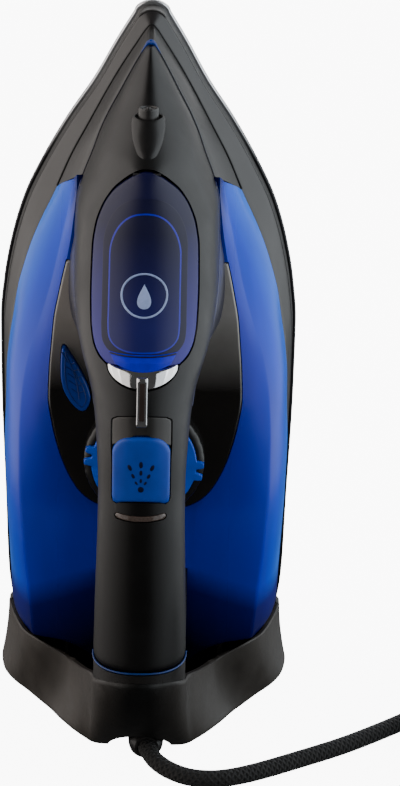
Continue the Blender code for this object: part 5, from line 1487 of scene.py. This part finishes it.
def make_heel():
    """The hollow heel with the cord's notch, and its two cross-head screws."""
    item = loft("heel", heel_rings(0.0, HEEL_STATIONS), sharp=40)
    profile = [(NOTCH_HALF * math.cos(a), max(-2.0, NOTCH_TOP * math.sin(a))) for a in spread(0, math.pi, 49)]
    profile = [(NOTCH_HALF, -4.0)] + profile + [(-NOTCH_HALF, -4.0)]
    item = cut(item, loft("hollow", heel_rings(HEEL_WALL, [0.0, 0.1, 0.25, 0.45, 0.7, 1.0, 1.35])),
               prism("notch", profile, 64.0, 130.0), sharp=40)
    for x in (-SCREW_X, SCREW_X):
        item = cut(item, rod("seat", 4.4, at(x, -5, SCREW_H), at(x, 2.1, SCREW_H), 48),
                   rod("hole", 2.2, at(x, 1, SCREW_H), at(x, 12, SCREW_H), 36), sharp=40)
    look = Look("heel_plastic", tone(48, 44, 41), 0.5, specular=0.35)
    # painted shade: the heel is painted near black along its middle, lightening to its own grey beyond 22 mm
    # from it
    wide = look.range(look.math("ABSOLUTE", look.place()[0]), 0.004, 0.022)
    look.vary(look.mix(wide, tone(8, 8, 8), tone(54, 50, 46)), share=0.2, scale=120, rough=0.07)
    look.grain(1500, 0.22, 0.00015)
    fit(item, "iron_body", look, "heel_cover")
    for x, name in ((-SCREW_X, "heel_screw_left"), (SCREW_X, "heel_screw_right")):
        screw = turned(name, SCREW_PROFILE, at(x, 0, SCREW_H), at(x, 17, SCREW_H), 40)
        for turn in (20, 110):
            a = math.radians(turn)
            one = Vector((math.cos(a), math.sin(a)))
            cross = [(x + one.x * u - one.y * v, SCREW_H + one.y * u + one.x * v)
                     for u, v in ((-2.1, -0.35), (2.1, -0.35), (2.1, 0.35), (-2.1, 0.35))]
            screw = boolean(screw, prism("cross", cross, -1.0, 1.3, "rear"))
        fit(screw, "iron_body", bright_metal(name, (0.5, 0.5, 0.5), 0.3), name)


def make_tray():
    """The filler tray under the lid, and the neck it drains into."""
    def span(s):
        half = min(15.5, smooth(LID_HALF, s) - 2.5)
        return -half, half
    item = patch("tray", spread(178, 229, 41), span, lambda x, s: crown(x, s, 3.6), 2.0, 21)
    item = boolean(item, block("slot", (-8.6, 191.5, 60), (8.6, 208.5, 140)))
    fit(item, "iron_body", blue_plastic("tray_blue", (20, 26, 70), 0.28), "filler_tray")
    neck = turned("neck", NECK_PROFILE, at(0, 200, 49.4), at(0, 200, 99.4), 64)
    fit(neck, "iron_body", blue_plastic("neck_blue", (24, 34, 96), 0.24), "filler_neck")


# ------------------------------------------------------------------ inner parts, in their CAD shapes
def cast_metal(name, colour, rough):
    look = Look(name, tone(*colour), rough, 1.0)
    return look.vary(share=0.15, scale=160, rough=0.1).grain(900, 0.25, 0.0003, detail=4.0, rough=0.6)


def drawn_metal(name, colour, rough):
    return plain(name, tone(*colour), rough, (0.08, 300, 0.06), (2600, 0.05), metal=1.0)


def moulding(name, colour, rough):
    return plain(name, tone(*colour), rough, (0.08, 200, 0.05), (1800, 0.08), specular=0.4)


INNER = {
    "heater_casting": (cast_metal, (150, 150, 152), 0.45),
    "steam_chamber_cover": (drawn_metal, (170, 170, 172), 0.35),
    "heating_element": (drawn_metal, (120, 118, 116), 0.45),
    "thermostat_body": (moulding, (205, 196, 176), 0.55),
    "thermal_fuse": (moulding, (226, 226, 222), 0.4),
    "self_clean_stem": (moulding, (214, 206, 188), 0.5),
    "self_clean_spring": (drawn_metal, (140, 140, 142), 0.3),
    "lid_pin": (drawn_metal, (150, 150, 152), 0.25),
    "filler_seal": (moulding, (28, 28, 30), 0.7),
    "valve_needle": (drawn_metal, (160, 160, 160), 0.25),
    "drip_valve": (moulding, (214, 206, 188), 0.5),
    "spray_pump": (moulding, (214, 206, 188), 0.5),
    "spray_piston": (moulding, (206, 200, 186), 0.45),
    "spray_spring": (drawn_metal, (140, 140, 142), 0.3),
    "burst_pump": (moulding, (214, 206, 188), 0.5),
    "burst_piston": (moulding, (206, 200, 186), 0.45),
    "burst_spring": (drawn_metal, (140, 140, 142), 0.3),
    "indicator_board": (moulding, (24, 84, 52), 0.45),
    "thermostat_shaft": (moulding, (206, 200, 186), 0.45),
    "terminal_block": (moulding, (214, 206, 188), 0.5),
    "swivel_bracket": (moulding, (200, 192, 176), 0.5),
}


def dress_inner_parts():
    for node, (make, colour, rough) in INNER.items():
        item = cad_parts[node]
        item.data.materials.clear()
        item.data.materials.append(make(node, colour, rough).material)


make_camera()
make_cord()
make_studio()
for make in (make_sole, make_skirts, make_shroud, make_tank, make_console, make_dial, make_hood, make_lid,
             make_crescent, make_lever, make_buttons, make_lens, make_grip, make_neck_walls, make_column,
             make_heel, make_tray, dress_inner_parts):
    make()
